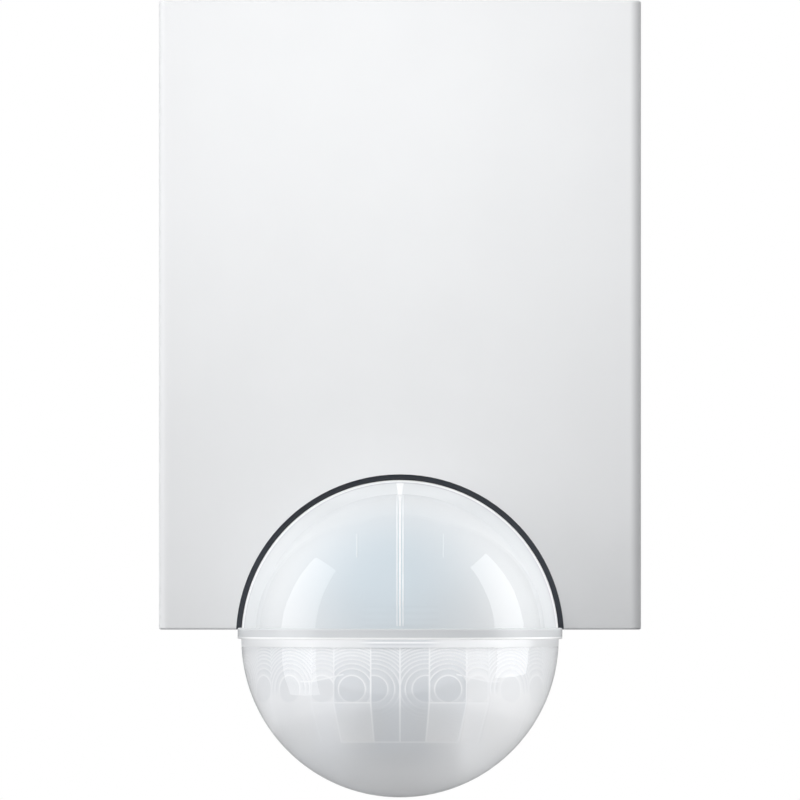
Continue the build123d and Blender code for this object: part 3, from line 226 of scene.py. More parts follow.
def circuit_board(slot):
    """Green solder mask with darker lanes where the copper lies under it."""
    material, tree, shader = new_material(slot)
    coordinates = add_node(tree, "ShaderNodeTexCoord")
    lanes = add_node(tree, "ShaderNodeTexVoronoi", distance="CHEBYCHEV")
    lanes.inputs["Scale"].default_value = 1 / (3.2 * MM)
    tree.links.new(coordinates.outputs["Object"], lanes.inputs["Vector"])
    steps = spread(tree, lanes.outputs["Distance"], 0.0, 1.0)
    green = blend_colours(tree, steps, (0.01, 0.09, 0.045), (0.025, 0.17, 0.08))
    tree.links.new(green, shader.inputs["Base Color"])
    tree.links.new(spread(tree, noise(tree, 0.5 * MM), 0.25, 0.38), shader.inputs["Roughness"])
    roughen(tree, shader, steps, 0.01 * MM)
    return material


def clear(slot, colour, roughness, transmission=1.0):
    """Clear plastic with a faint polish mark in its gloss."""
    material, tree, shader = new_material(slot)
    shader.inputs["Base Color"].default_value = (*colour, 1)
    shader.inputs["Transmission Weight"].default_value = transmission
    shader.inputs["IOR"].default_value = 1.49
    gloss = spread(tree, noise(tree, 6 * MM), roughness * 0.7, roughness * 1.3)
    tree.links.new(gloss, shader.inputs["Roughness"])
    return material


def hood_with_painted_reflection(slot):
    """Satin white with a painted pale-blue reflection of the studio in the middle of its front."""
    material = moulded(slot, (0.735, 0.755, 0.77), 0.42, tint=0.015)
    tree = material.node_tree
    coordinates = add_node(tree, "ShaderNodeTexCoord")
    distance = add_node(tree, "ShaderNodeVectorMath", operation="DISTANCE")
    distance.inputs[1].default_value = ball + Vector((-0.09, -0.9, 0.4)) * hood_radius
    tree.links.new(coordinates.outputs["Object"], distance.inputs[0])
    # Painted reflection: pale blue near a point on the hood's front, fading out by 24 mm from it
    near = ranged(tree, distance.outputs["Value"], 2 * MM, 24 * MM, 1.0, 0.0, "SMOOTHSTEP")
    return paint_over(material, near, (0.60, 0.675, 0.725))


def milky_material(slot):
    """The lens's inner face: milky plastic, with painted highlights along its lines and painted shade greying
    its cells, most in the middle ones.
    """
    material, tree, shader = new_material(slot)
    tone = add_node(tree, "ShaderNodeAttribute", attribute_name="tone")
    line = add_node(tree, "ShaderNodeAttribute", attribute_name="line")
    cell = blend_colours(tree, tone.outputs["Fac"], (0.95, 0.955, 0.96), (0.60, 0.635, 0.67))
    tree.links.new(cell, shader.inputs["Base Color"])
    tree.links.new(spread(tree, noise(tree, 5 * MM), 0.3, 0.38), shader.inputs["Roughness"])
    shader.inputs["Transmission Weight"].default_value = 0.12
    shader.inputs["IOR"].default_value = 1.2
    return paint_over(material, line.outputs["Fac"], (0.97, 0.98, 0.99))


def graded(slot, axis, first, last, colours, to_both_sides=False):
    """Smooth plastic whose colour goes from one to the other between two places on an axis."""
    material, tree, shader = new_material(slot)
    place = position(tree)[axis]
    if to_both_sides:
        place = calculate(tree, "ABSOLUTE", place)
    share = ranged(tree, place, first, last, easing="SMOOTHSTEP")
    tree.links.new(blend_colours(tree, share, *colours), shader.inputs["Base Color"])
    tree.links.new(spread(tree, noise(tree, 5 * MM), 0.28, 0.36), shader.inputs["Roughness"])
    return material


def lip_painted_line(slot, colour):
    """A fine painted line of the lens's lip, highlight and shade alike: its own colour in the middle of the
    front, pale grey to the sides.
    """
    return graded(slot, "X", 4.5 * MM, 8.5 * MM, (colour, (0.73, 0.74, 0.75)), to_both_sides=True)


def silky(slot, colour, roughness, tint=0.01, **sockets):
    """The dome's and the hood's smooth trim: hardly any grain."""
    return moulded(slot, colour, roughness, depth=0.001 * MM, tint=tint, **sockets)


MATERIALS = {
    "cover_white": moulded(
        "cover_white", (0.80, 0.805, 0.81), 0.42, grain=0.3 * MM, depth=0.003 * MM, tint=0.01
    ),
    "base_white": moulded("base_white", (0.76, 0.76, 0.76), 0.45, grain=0.5 * MM, depth=0.008 * MM),
    "seal_black": moulded("seal_black", (0.02, 0.02, 0.022), 0.7, grain=0.2 * MM, depth=0.01 * MM),
    "silicone_white": moulded("silicone_white", (0.78, 0.8, 0.81), 0.5, grain=0.4 * MM),
    "socket_grey": moulded(
        "socket_grey", (0.075, 0.083, 0.098), 0.55, grain=0.25 * MM, depth=0.01 * MM, tint=0.1
    ),
    "hood_white": hood_with_painted_reflection("hood_white"),
    "guide_clear": striped("guide_clear", (0.80, 0.83, 0.85), (0.74, 0.77, 0.80), 1.3 * MM, 0.3, 0.25, "Z"),
    "chassis_white": moulded("chassis_white", (0.74, 0.745, 0.75), 0.5),
    "carrier_blue_grey": moulded("carrier_blue_grey", (0.28, 0.33, 0.40), 0.45),
    "connector_white": moulded("connector_white", (0.68, 0.66, 0.58), 0.4, tint=0.08),
    "led_red": moulded("led_red", (0.55, 0.03, 0.02), 0.12, depth=0.001 * MM, Transmission_Weight=0.4),
    "sensor_clear": clear("sensor_clear", (0.75, 0.8, 0.75), 0.06, transmission=0.7),
    "silicon_dark": moulded(
        "silicon_dark", (0.012, 0.014, 0.02), 0.1, depth=0.0005 * MM, tint=0.3, cloud=2 * MM
    ),
    "board_green": circuit_board("board_green"),
    "relay_black": moulded("relay_black", (0.02, 0.02, 0.024), 0.4, grain=0.3 * MM, depth=0.012 * MM),
    "film_yellow": moulded("film_yellow", (0.62, 0.38, 0.03), 0.3, depth=0.004 * MM, tint=0.1),
    "sleeve_black": striped("sleeve_black", (0.02, 0.025, 0.05), (0.3, 0.32, 0.36), 9 * MM, 0.18, 0.28, "X"),
    "ferrite_brown": moulded(
        "ferrite_brown", (0.05, 0.032, 0.022), 0.6, grain=0.3 * MM, depth=0.02 * MM, tint=0.4
    ),
    "varistor_blue": moulded(
        "varistor_blue", (0.02, 0.06, 0.22), 0.35, grain=0.8 * MM, depth=0.02 * MM, tint=0.15
    ),
    "terminal_brass": metal("terminal_brass", (0.62, 0.5, 0.3), 0.3),
    "fuse_glass": clear("fuse_glass", (0.88, 0.92, 0.92), 0.05, transmission=0.8),
    "chip_black": moulded("chip_black", (0.015, 0.015, 0.016), 0.5, grain=0.15 * MM, depth=0.006 * MM),
    "resistor_tan": striped("resistor_tan", (0.5, 0.34, 0.18), (0.25, 0.05, 0.02), 1.6 * MM, 0.35, 0.3, "X"),
    "diode_black": striped("diode_black", (0.015, 0.015, 0.016), (0.5, 0.5, 0.5), 4.8 * MM, 0.2, 0.3, "Z"),
    "terminal_grey": moulded("terminal_grey", (0.27, 0.28, 0.29), 0.45),
    "trimmer_blue": moulded("trimmer_blue", (0.015, 0.07, 0.3), 0.4),
    "ribbon_grey": striped("ribbon_grey", (0.32, 0.32, 0.33), (0.2, 0.2, 0.21), 1.27 * MM, 0.3, 0.4, "X"),
    "cable_grey": moulded("cable_grey", (0.11, 0.115, 0.12), 0.55, grain=0.6 * MM, depth=0.015 * MM),
    "swivel_grey": moulded(
        "swivel_grey", (0.045, 0.048, 0.055), 0.5, depth=0.02 * MM, tint=0.35, cloud=0.8 * MM
    ),
    "dial_grey": moulded("dial_grey", (0.13, 0.135, 0.145), 0.42, grain=0.3 * MM, depth=0.01 * MM),
    "zinc_steel": metal("zinc_steel", (0.62, 0.62, 0.6), 0.34),
    "sensor_can": metal("sensor_can", (0.66, 0.65, 0.6), 0.2, grain=0.5 * MM),
    "dome_clear": clear("dome_clear", (1.0, 1.0, 1.0), 0.02),
    "lens_clear": clear("lens_clear", (0.99, 0.99, 1.0), 0.03),
}
LENS_INNER = milky_material("lens_inner_face")
FLANGE_SATIN = silky("flange_satin", (0.655, 0.67, 0.685), 0.16, tint=0.02, Transmission_Weight=0.1)
RIM_WHITE = silky("rim_white", (0.95, 0.955, 0.96), 0.3)
# A painted shadow line round the inside of the dome's white rim
SHADOW_LINE_GREY = silky("groove_grey", (0.62, 0.63, 0.66), 0.4, tint=0.02)
RIB_PALE = silky("rib_pale", (0.86, 0.885, 0.905), 0.35)
LINE_PALE = silky("line_pale", (0.77, 0.815, 0.84), 0.35)
# Painted light on the lip: shade lines, a highlight line and a pale band over the head seal's shadow
LIP_SHADE = lip_painted_line("lip_grey", (0.60, 0.62, 0.645))
LIP_HIGHLIGHT = lip_painted_line("lip_white", (0.86, 0.87, 0.88))
LIP_PALE_OVER_SHADOW = lip_painted_line("lip_pale", (0.70, 0.715, 0.735))
# Painted light: the rim white in front as a reflection, the foot white in front as a highlight, both greyer
# to the sides as shade, and the collar whiter at its top
lit_front_and_shaded_sides = (0.95, 0.955, 0.96), (0.6, 0.605, 0.61)
RIM_PAINTED_LIGHT = graded("rim_edge", "Y", ball.y - 4.4 * MM, ball.y - 1.4 * MM, lit_front_and_shaded_sides)
FOOT_HIGHLIGHT = graded("foot_edge", "Y", ball.y - 14 * MM, ball.y - 3 * MM, lit_front_and_shaded_sides)
shaded_sides_and_lit_top = (0.68, 0.70, 0.715), (0.75, 0.77, 0.785)
COLLAR_LIT_TOP = graded("collar_white", "Z", ball.z + 24.5 * MM, ball.z + 28 * MM, shaded_sides_and_lit_top)
for entry in frame["record"]["subparts"]:
    target = nodes[entry["node"]]
    target.data.materials.clear()
    target.data.materials.append(MATERIALS[entry["material_slot"]])


# ---------------------------------------------------------------- mesh helpers
def piece(name, mesh, slot, body, *replaced):
    """A smooth-shaded object from that mesh, riding on a body and standing for the replaced CAD nodes."""
    made = bpy.data.objects.new(name, mesh)
    scene.collection.objects.link(made)
    mesh.materials.append(MATERIALS[slot])
    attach(made, body)
    if replaced:
        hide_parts(*replaced)
    return made


def let_light_through(made):
    """Lamps light what is behind this clear piece."""
    made.visible_shadow = False
    made.visible_diffuse = False


def smooth(mesh, angle=35):
    """Smooth shading, with edges sharper than the angle kept sharp."""
    for polygon in mesh.polygons:
        polygon.use_smooth = True
    mesh.set_sharp_from_angle(angle=math.radians(angle))


def cut_at_split(mesh_data):
    """Cut away what lies behind the head's split plane and close the cut."""
    cut = bmesh.ops.bisect_plane(
        mesh_data,
        geom=mesh_data.verts[:] + mesh_data.edges[:] + mesh_data.faces[:],
        plane_co=ball + Vector((0, split_depth, 0)),
        plane_no=(0, 1, 0),
        clear_outer=True,
    )
    edges = [item for item in cut["geom_cut"] if isinstance(item, bmesh.types.BMEdge)]
    bmesh.ops.edgenet_fill(mesh_data, edges=edges)


def arc(radius, start, end, steps, centre=(0.0, 0.0)):
    """Points (distance from the axis, height) on an arc, by angle above the level plane."""
    angles = [math.radians(start + (end - start) * step / steps) for step in range(steps + 1)]
    return [(centre[0] + radius * math.cos(a), centre[1] + radius * math.sin(a)) for a in angles]


def add_ring(mesh_data, distance, height, steps):
    """Vertices on a level circle round the ball's upright axis, or a single one on the axis."""
    if distance < 1e-7:
        return [mesh_data.verts.new(ball + Vector((0, 0, height)))]
    turns = [2 * math.pi * step / steps for step in range(steps)]
    places = [Vector((distance * math.sin(turn), -distance * math.cos(turn), height)) for turn in turns]
    return [mesh_data.verts.new(ball + place) for place in places]


def join_rings(mesh_data, first, second):
    """The new faces between two rings, of which one may be a single vertex."""
    steps = max(len(first), len(second))
    faces = []
    for step in range(steps):
        following = (step + 1) % steps
        corners = [first[step % len(first)], first[following % len(first)]]
        corners += [second[following % len(second)], second[step % len(second)]]
        faces.append(mesh_data.faces.new(list(dict.fromkeys(corners))))
    return faces


def turned(profile, steps):
    """A closed profile of (distance, height), turned about the ball's upright axis."""
    mesh_data = bmesh.new()
    rings = [add_ring(mesh_data, distance, height, steps) for distance, height in profile]
    for first, second in zip(rings, rings[1:] + rings[:1]):
        if len(first) > 1 or len(second) > 1:
            join_rings(mesh_data, first, second)
    bmesh.ops.recalc_face_normals(mesh_data, faces=mesh_data.faces)
    return mesh_data


def to_mesh(mesh_data, name):
    """A mesh with that name, made from the bmesh, which is freed."""
    mesh = bpy.data.meshes.new(name)
    mesh_data.to_mesh(mesh)
    mesh_data.free()
    return mesh


# ---------------------------------------------------------------- upper dome
def paint_dome(mesh_data):
    """Number the outer faces: the flange and its foot, and on the ball the rim, the painted shadow line
    inside it and its collar.
    """
    bands = ((RIM_FRONT, RIM), (SHADOW_LINE_FRONT, SHADOW_LINE), (COLLAR_FRONT, COLLAR))
    for front, _ in bands:
        everything = mesh_data.verts[:] + mesh_data.edges[:] + mesh_data.faces[:]
        plane_at = ball - Vector((0, front, 0))
        bmesh.ops.bisect_plane(mesh_data, geom=everything, plane_co=plane_at, plane_no=(0, 1, 0))
    skin = ball_radius - 0.3 * MM
    flange_top = flange_height + 0.05 * MM
    for face in mesh_data.faces:
        place = face.calc_center_median() - ball
        if math.hypot(place.x, place.y) > skin and place.z < flange_top:
            face.material_index = FOOT if place.z < foot_height else FLANGE
        elif place.length > skin:
            face.material_index = next((number for front, number in bands if place.y > -front), 0)


def make_dome():
    """Clear half ball with its flange, hollow, cut at the split plane."""
    flange_lift = math.degrees(math.asin(flange_height / ball_radius))
    profile = [(0.0, ball_radius)] + arc(ball_radius, 90, flange_lift, 64)[1:]
    profile += arc(flange_edge, 90, 0, 4, (flange_radius - flange_edge, flange_height - flange_edge))
    profile += [(flange_radius, foot_height)]
    profile += arc(foot_edge, 0, -90, 4, (flange_radius - foot_edge, foot_edge))
    profile += arc(dome_inner, 0, 90, 64)[:-1] + [(0.0, dome_inner)]
    mesh_data = turned(profile, 192)
    cut_at_split(mesh_data)
    paint_dome(mesh_data)
    mesh = to_mesh(mesh_data, "upper_dome_shell")
    smooth(mesh)
    made = piece("upper_dome_shell", mesh, "dome_clear", "head", "upper_dome")
    for material in (FLANGE_SATIN, RIM_PAINTED_LIGHT, SHADOW_LINE_GREY, COLLAR_LIT_TOP, FOOT_HIGHLIGHT):
        made.data.materials.append(material)
    let_light_through(made)


def hood_strip(name, x, low, high, width, material, flare=0.0, flare_from=0.88, base=hood_radius):
    """A thin raised line down the front of the hood or dome at that x, widening to its top by the flare."""
    round_radius = math.sqrt(base**2 - x**2)
    start, end = math.asin(low / round_radius), math.asin(high / round_radius)
    steps, sunk, proud = 48, -0.03 * MM, 0.07 * MM
    mesh_data = bmesh.new()
    rings = []
    for step in range(steps + 1):
        lift = start + (end - start) * step / steps
        half = width / 2 + flare / 2 * max(0.0, (step / steps - flare_from) / (1 - flare_from))
        ring = []
        for across, rise in ((-half, sunk), (-half / 2, proud), (half / 2, proud), (half, sunk)):
            reach = round_radius + rise
            place = Vector((x + across, -reach * math.cos(lift), reach * math.sin(lift)))
            ring.append(mesh_data.verts.new(ball + place))
        rings.append(ring)
    for first, second in zip(rings, rings[1:]):
        join_rings(mesh_data, first, second)
    mesh_data.faces.new(rings[0][::-1])
    mesh_data.faces.new(rings[-1])
    bmesh.ops.recalc_face_normals(mesh_data, faces=mesh_data.faces)
    mesh = to_mesh(mesh_data, name)
    smooth(mesh)
    made = piece(name, mesh, "hood_white", "head")
    made.data.materials[0] = material


def make_hood_lines():
    """The rib down the hood's middle, as three fine lines, its top on the dome, and a line to either side."""
    foot, spacing = 2.6 * MM, 0.56 * MM
    top = math.sqrt(hood_radius**2 - COLLAR_FRONT**2) + 0.5 * MM
    collar_low = math.sqrt(ball_radius**2 - COLLAR_FRONT**2) - 0.1 * MM
    collar_high = math.sqrt(ball_radius**2 - SHADOW_LINE_FRONT**2)
    line_x, line_low, line_high = 8.05 * MM, 15.4 * MM, 19.7 * MM
    hood_strip("hood_rib", 0.0, foot, top, 0.36 * MM, RIM_WHITE, flare=0.4 * MM)
    whole_flare = {"flare": 0.7 * MM, "flare_from": 0.0, "base": ball_radius}
    hood_strip("hood_rib_top", 0.0, collar_low, collar_high, 0.9 * MM, RIM_WHITE, **whole_flare)
    for side, name in ((-1, "left"), (1, "right")):
        hood_strip(f"hood_rib_{name}", side * spacing, foot, top, 0.3 * MM, RIB_PALE)
        hood_strip(f"hood_line_{name}", side * line_x, line_low, line_high, 0.24 * MM, LINE_PALE)


def make_guide_face():
    """The light guide's moulded face in the foot of the hood: a thin curved plate with fine level ridges."""
    low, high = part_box("light_guide")
    bottom, top = low.z - ball.z - 0.25 * MM, high.z - ball.z + 0.35 * MM
    half, rows, columns = 7.1 * MM, 12, 24
    ridge, valley, back = 0.05 * MM, 0.03 * MM, -0.02 * MM
    mesh_data = bmesh.new()
    for front in (True, False):
        previous = None
        for row in range(rows + 1):
            height = bottom + (top - bottom) * row / rows
            proud = (ridge if row % 4 < 2 else valley) if front else back
            line = []
            for column in range(columns + 1):
                x = half * (2 * column / columns - 1)
                y = -math.sqrt((hood_radius + proud)**2 - x**2 - height**2)
                line.append(mesh_data.verts.new(ball + Vector((x, y, height))))
            if previous:
                for column in range(columns):
                    corners = previous[column:column + 2] + line[column:column + 2][::-1]
                    mesh_data.faces.new(corners)
            previous = line
    edges = [edge for edge in mesh_data.edges if edge.is_boundary]
    bmesh.ops.bridge_loops(mesh_data, edges=edges)
    bmesh.ops.recalc_face_normals(mesh_data, faces=mesh_data.faces)
    mesh = to_mesh(mesh_data, "light_guide_face")
    smooth(mesh)
    made = piece("light_guide_face", mesh, "guide_clear", "head")
    made.data.materials[0] = MATERIALS["hood_white"]


# ---------------------------------------------------------------- lens
def column_of(azimuth, drop):
    """Which column each place is in, its side angle, the column's middle and how far its nearer border is."""
    taper = np.interp(drop, (ROW_A, ROW_B), (1.0, COLUMN_TAPER))
    across = np.cos(np.radians(drop)) * np.sin(np.radians(np.abs(azimuth))) / taper
    side = np.degrees(np.arcsin(np.clip(across, 0, 1)))
    side = np.where(np.abs(azimuth) > 90, 90.0, side)
    borders = np.array(COLUMNS)
    index = np.clip(np.searchsorted(borders, side, side="right") - 1, 0, len(borders) - 2)
    low, high = borders[index], borders[index + 1]
    return index, side, (low + high) / 2, np.minimum(side - low, high - side)


def bright_edge(side):
    """The angle down to the edge with a painted highlight line, under which the outer cells are painted a
    little greyer.
    """
    return np.interp(side, (21.5, 25.5, 35.0), (13.0, 13.9, 15.8))


def cell_painted_shade(azimuth, side, drop, zone):
    """How much painted shade greys the inner face: most in the middle cells, and least to the sides above the
    bright edge.
    """
    # The painted shade at each angle down, in the middle column, in the second and in the outer ones
    stops = (0, 12, 18, ROW_A, ROW_B, 58, 90)
    middle = np.interp(drop, stops, (0.66, 0.64, 0.72, 0.70, 0.58, 0.2, 0.22))
    stops = (0, 9, 14, ROW_A, ROW_B, 58, 90)
    second = np.interp(drop, stops, (0.36, 0.52, 0.64, 0.58, 0.24, 0.1, 0.2))
    stops = (0, 6, 10, 14, 20, ROW_A, ROW_B, 58, 90)
    outer = np.interp(drop, stops, (0.5, 0.48, 0.42, 0.34, 0.22, 0.18, 0.22, 0.3, 0.36))
    above_edge = np.interp(drop - bright_edge(side), (0, 0.4), (1.0, 0.0))
    above_edge = above_edge * np.interp(side, (36, 48), (1.0, 0.0))
    limb = np.interp(side, (55, 75), (0.0, 1.0))
    # Painted light on the outer cells: lighter toward the limb and above the bright edge, and lighter to the
    # right than to the left
    outer = outer * (1 - 0.6 * limb) - 0.14 * above_edge - 0.1 * (1 - limb) * np.tanh(azimuth / 20)
    cells = np.where(side < COLUMNS[1], middle, np.where(side < COLUMNS[2], second, outer))
    below_cells = np.interp(side, (8, 30), (0.0, 1.0)) * (outer - middle) + middle
    grey = np.where(drop < ROW_B, cells, below_cells)
    # Painted shade that grows across each ring, from one ring's line to the next
    return np.clip(grey + 0.28 * (zone - 0.5), 0, 1)


def ring_strength(index, drop, along):
    """How strong the rings are: weaker in row B and below their middle, and none under row B."""
    row_a = np.interp(index, (0, 1, 2, 3, 5), (0.75, 1.0, 1.0, 1.0, 0.85))
    row_b = np.interp(index, (1, 3), (0.3, 0.12))
    below = np.where(index >= 2, 0.0, 0.45)
    faded = 1 + (below - 1) * np.interp(along, (0.0, 1.5 * MM), (0.0, 1.0))
    return np.where(drop >= ROW_B, 0.0, np.where(drop < ROW_A, row_a, row_b) * faded)


def border_line(index, drop, from_border):
    """How near each place is to a line round a cell of row A or B, from 0 to 1."""
    # Too far from a line to show, in degrees as in metres
    far_off = 9.0
    to_row_a = np.abs(drop - ROW_A) + np.where((index == 1) | (index == 2), 0.0, far_off)
    to_row_b = np.abs(drop - ROW_B) + np.where(index <= 1, 0.0, far_off)
    row_gap = np.radians(np.minimum(to_row_a, to_row_b)) * lens_inner
    column_gap = np.radians(from_border) * lens_inner * np.cos(np.radians(drop))
    column_gap = np.where(drop > ROW_B, far_off, column_gap)
    return np.clip(1.6 - np.minimum(row_gap, column_gap) / BORDER_WIDTH, 0, 1)


def cell_field(azimuth, drop):
    """Over the lens's inner face: how far it stands in, how strong its painted highlight lines are, how grey
    its painted shade makes its cells.
    """
    index, side, middle, from_border = column_of(azimuth, drop)
    face = (drop > RIM_DROP) & (np.abs(azimuth) < 90)
    in_row_a = drop < ROW_A
    middle_cells = (index == 0) & (drop < ROW_B)
    centre_side = np.where(index == 0, MIDDLE_RING, middle)
    row_b_drop = np.where(index == 1, RING_DROP_FAR, RING_DROP_B)
    centre_drop = np.where(in_row_a | middle_cells, RING_DROP, row_b_drop)
    across = np.radians(side - centre_side) * lens_inner
    along = np.radians(drop - centre_drop) * lens_inner
    reach = np.hypot(across, along)
    # Rings: the phase goes up by one from ring to ring, and the zone is how far it is from one to the next
    phase = 1 + (reach**2 - FIRST_RING**2) / RING_STEP
    zone = phase - np.floor(phase)
    pitch = RING_STEP / (2 * np.maximum(reach, FIRST_RING))
    strength = ring_strength(index, drop, along)
    edge = np.minimum(zone, 1 - zone) * pitch
    # The rings' lines are painted highlights along each ring's edge
    ring_highlight = np.where(face & (phase > 0.9), strength * np.clip(1.15 - edge / LINE_WIDTH, 0, 1), 0.0)
    # Painted highlights: lines round the cells, and the fine line along the bright edge
    border = np.where(face, border_line(index, drop, from_border), 0.0)
    border_highlight = np.interp(index, (0, 1, 2, 3), (1.0, 1.0, 0.6, 0.35))
    border_highlight = border_highlight * np.interp(drop, (0, ROW_A, ROW_B), (1.0, 0.9, 0.8))
    under_edge = np.radians(np.abs(drop - bright_edge(side))) * lens_inner
    edge_highlight = np.clip(1.2 - under_edge / LINE_WIDTH, 0, 1) * ((side > 21.5) & (side < 40))
    line = np.max([ring_highlight, border * border_highlight, 0.95 * edge_highlight], axis=0)
    rise = np.where(face & (phase > 1), RING_DEPTH * strength * zone, 0.0)
    rise = np.where(border > 0, BORDER_DEPTH, rise)
    first_zone = np.where(in_row_a | (index < 2), 0.5, 0.06)
    shade = np.where(phase > 1, zone * strength, first_zone)
    tone = np.where(face, cell_painted_shade(azimuth, side, drop, shade), 0.1)
    return rise, line, tone


def grid_angles(stops):
    """Angles from a list of (end, step) stretches."""
    angles = [stops[0]]
    for end, step in stops[1:]:
        count = max(1, round((end - angles[-1]) / step))
        start = angles[-1]
        angles += [start + (end - start) * (n + 1) / count for n in range(count)]
    return np.array(angles)


def lens_cells():
    """The lens's inner face, with its cells and rings, and the two attributes that its material reads."""
    drops = grid_angles([0.0, (RIM_DROP, 0.7), (ROW_A, 0.18), (ROW_B, 0.3), (ROW_C, 0.7), (88.0, 1.6)])
    azimuths = grid_angles([-90.0, (-40.0, 0.36), (40.0, 0.18), (90.0, 0.36), (269.0, 3.0)])
    azimuth, drop = np.meshgrid(azimuths, drops)
    rise, line, tone = cell_field(azimuth, drop)
    radius = lens_inner - rise
    turn, fall = np.radians(azimuth), np.radians(drop)
    x = radius * np.cos(fall) * np.sin(turn)
    y = -radius * np.cos(fall) * np.cos(turn)
    z = -radius * np.sin(fall)
    points = np.stack([x, y, z], axis=-1).reshape(-1, 3) + np.array(ball)
    pole = len(points)
    points = np.vstack([points, np.array(ball) + [0, 0, -lens_inner]])
    columns = len(azimuths)
    last_row = (len(drops) - 1) * columns
    faces = []
    for first in range(0, last_row, columns):
        second = first + columns
        for column in range(columns):
            following = (column + 1) % columns
            faces.append((first + column, first + following, second + following, second + column))
    faces += [(last_row + column, last_row + (column + 1) % columns, pole) for column in range(columns)]
    mesh = bpy.data.meshes.new("lens_cells")
    mesh.from_pydata(points.tolist(), [], faces)
    for name, values in (("line", line), ("tone", tone)):
        attribute = mesh.attributes.new(name, "FLOAT", "POINT")
        attribute.data.foreach_set("value", np.append(values.ravel(), 0.0).astype(np.float32))
    return mesh


def add_lens_skin(mesh_data):
    """Add the lens's smooth outer face, which looks out and has the lip's lines, and give its rim's edges."""
    steps, rows = 144, 45
    drops = [0.0] + [end for end, _ in LIP_LINES] + list(np.linspace(4.2, 90, rows))
    numbers = [number for _, number in LIP_LINES] + [0] * rows
    falls = [math.radians(drop) for drop in drops]
    circles = [(ball_radius * math.cos(fall), -ball_radius * math.sin(fall)) for fall in falls]
    rings = [add_ring(mesh_data, distance, height, steps) for distance, height in circles]
    rim = rings[0]
    edges = [mesh_data.edges.new((rim[step], rim[(step + 1) % steps])) for step in range(steps)]
    for first, second, number in zip(rings, rings[1:], numbers):
        for face in join_rings(mesh_data, second, first):
            face.material_index = number
    return edges


def make_lens():
    """Half ball that is smooth outside and has its cells and Fresnel rings inside, cut at the split plane."""
    cells = lens_cells()
    mesh_data = bmesh.new()
    mesh_data.from_mesh(cells)
    bpy.data.meshes.remove(cells)
    for face in mesh_data.faces:
        face.material_index = CELLS
    inner_edges = [edge for edge in mesh_data.edges if edge.is_boundary]
    outer_edges = add_lens_skin(mesh_data)
    rim = bmesh.ops.bridge_loops(mesh_data, edges=inner_edges + outer_edges)
    for face in rim["faces"]:
        face.material_index = HIGHLIGHT_LINE
    bmesh.ops.recalc_face_normals(mesh_data, faces=mesh_data.faces)
    cut_at_split(mesh_data)
    mesh = to_mesh(mesh_data, "fresnel_lens")
    smooth(mesh, 60)
    made = piece("fresnel_lens", mesh, "lens_clear", "head", "lens")
    for material in (LENS_INNER, LIP_HIGHLIGHT, LIP_SHADE, LIP_PALE_OVER_SHADOW):
        made.data.materials.append(material)
    let_light_through(made)


make_dome()
make_hood_lines()
make_guide_face()
make_lens()


# ---------------------------------------------------------------- floor, light and camera
def area_light(name, place, aim, width, height, radiance, glossy=True, diffuse=True):
    """A soft box facing its aim, as bright as its radiance says."""
    data = bpy.data.lights.new(name, "AREA")
    data.shape = "RECTANGLE"
    data.size, data.size_y = width, height
    data.energy = radiance * math.pi * width * height
    made = bpy.data.objects.new(name, data)
    made.location = place
    made.rotation_mode = "QUATERNION"
    made.rotation_quaternion = (Vector(aim) - Vector(place)).to_track_quat("-Z", "Y")
    made.visible_camera = False
    made.visible_glossy = glossy
    made.visible_diffuse = diffuse
    made.visible_transmission = False
    scene.collection.objects.link(made)
    return made


def light_only(light, receivers):
    """Let the light reach only those pieces."""
    group = bpy.data.collections.new(f"{light.name}_receivers")
    for receiver in receivers:
        group.objects.link(receiver)
    light.light_linking.receiver_collection = group


def side_box(name, side, azimuth, foot, width, length, roll, radiance, receivers):
    """A tall soft box 1 m to one side of the head, seen only as a reflection.

    foot is the middle of its lower edge: how far back of that azimuth it is, and its height. It leans forward
    by roll, in degrees.
    """
    turn, lean = math.radians(azimuth), math.radians(roll)
    out = Vector((side * math.sin(turn), -math.cos(turn), 0))
    back = Vector((side * math.cos(turn), math.sin(turn), 0))
    up = Vector((0, 0, 1))
    along = up * math.cos(lean) - back * math.sin(lean)
    place = ball + out + back * foot[0] + up * foot[1] + along * length / 2
    light = area_light(name, place, place - out, width, length, radiance, diffuse=False)
    light.rotation_quaternion = Matrix((along.cross(out), along, out)).transposed().to_quaternion()
    light_only(light, receivers)


def soft_box(name, azimuth, elevation, distance, width, height, radiance, receivers):
    """A soft box round the head, at that azimuth from the front, that lights only the given pieces."""
    turn, lift = math.radians(azimuth), math.radians(elevation)
    direction = Vector((math.sin(turn) * math.cos(lift), -math.cos(turn) * math.cos(lift), math.sin(lift)))
    light = area_light(name, ball + distance * direction, ball, width, height, radiance, glossy=False)
    light_only(light, receivers)


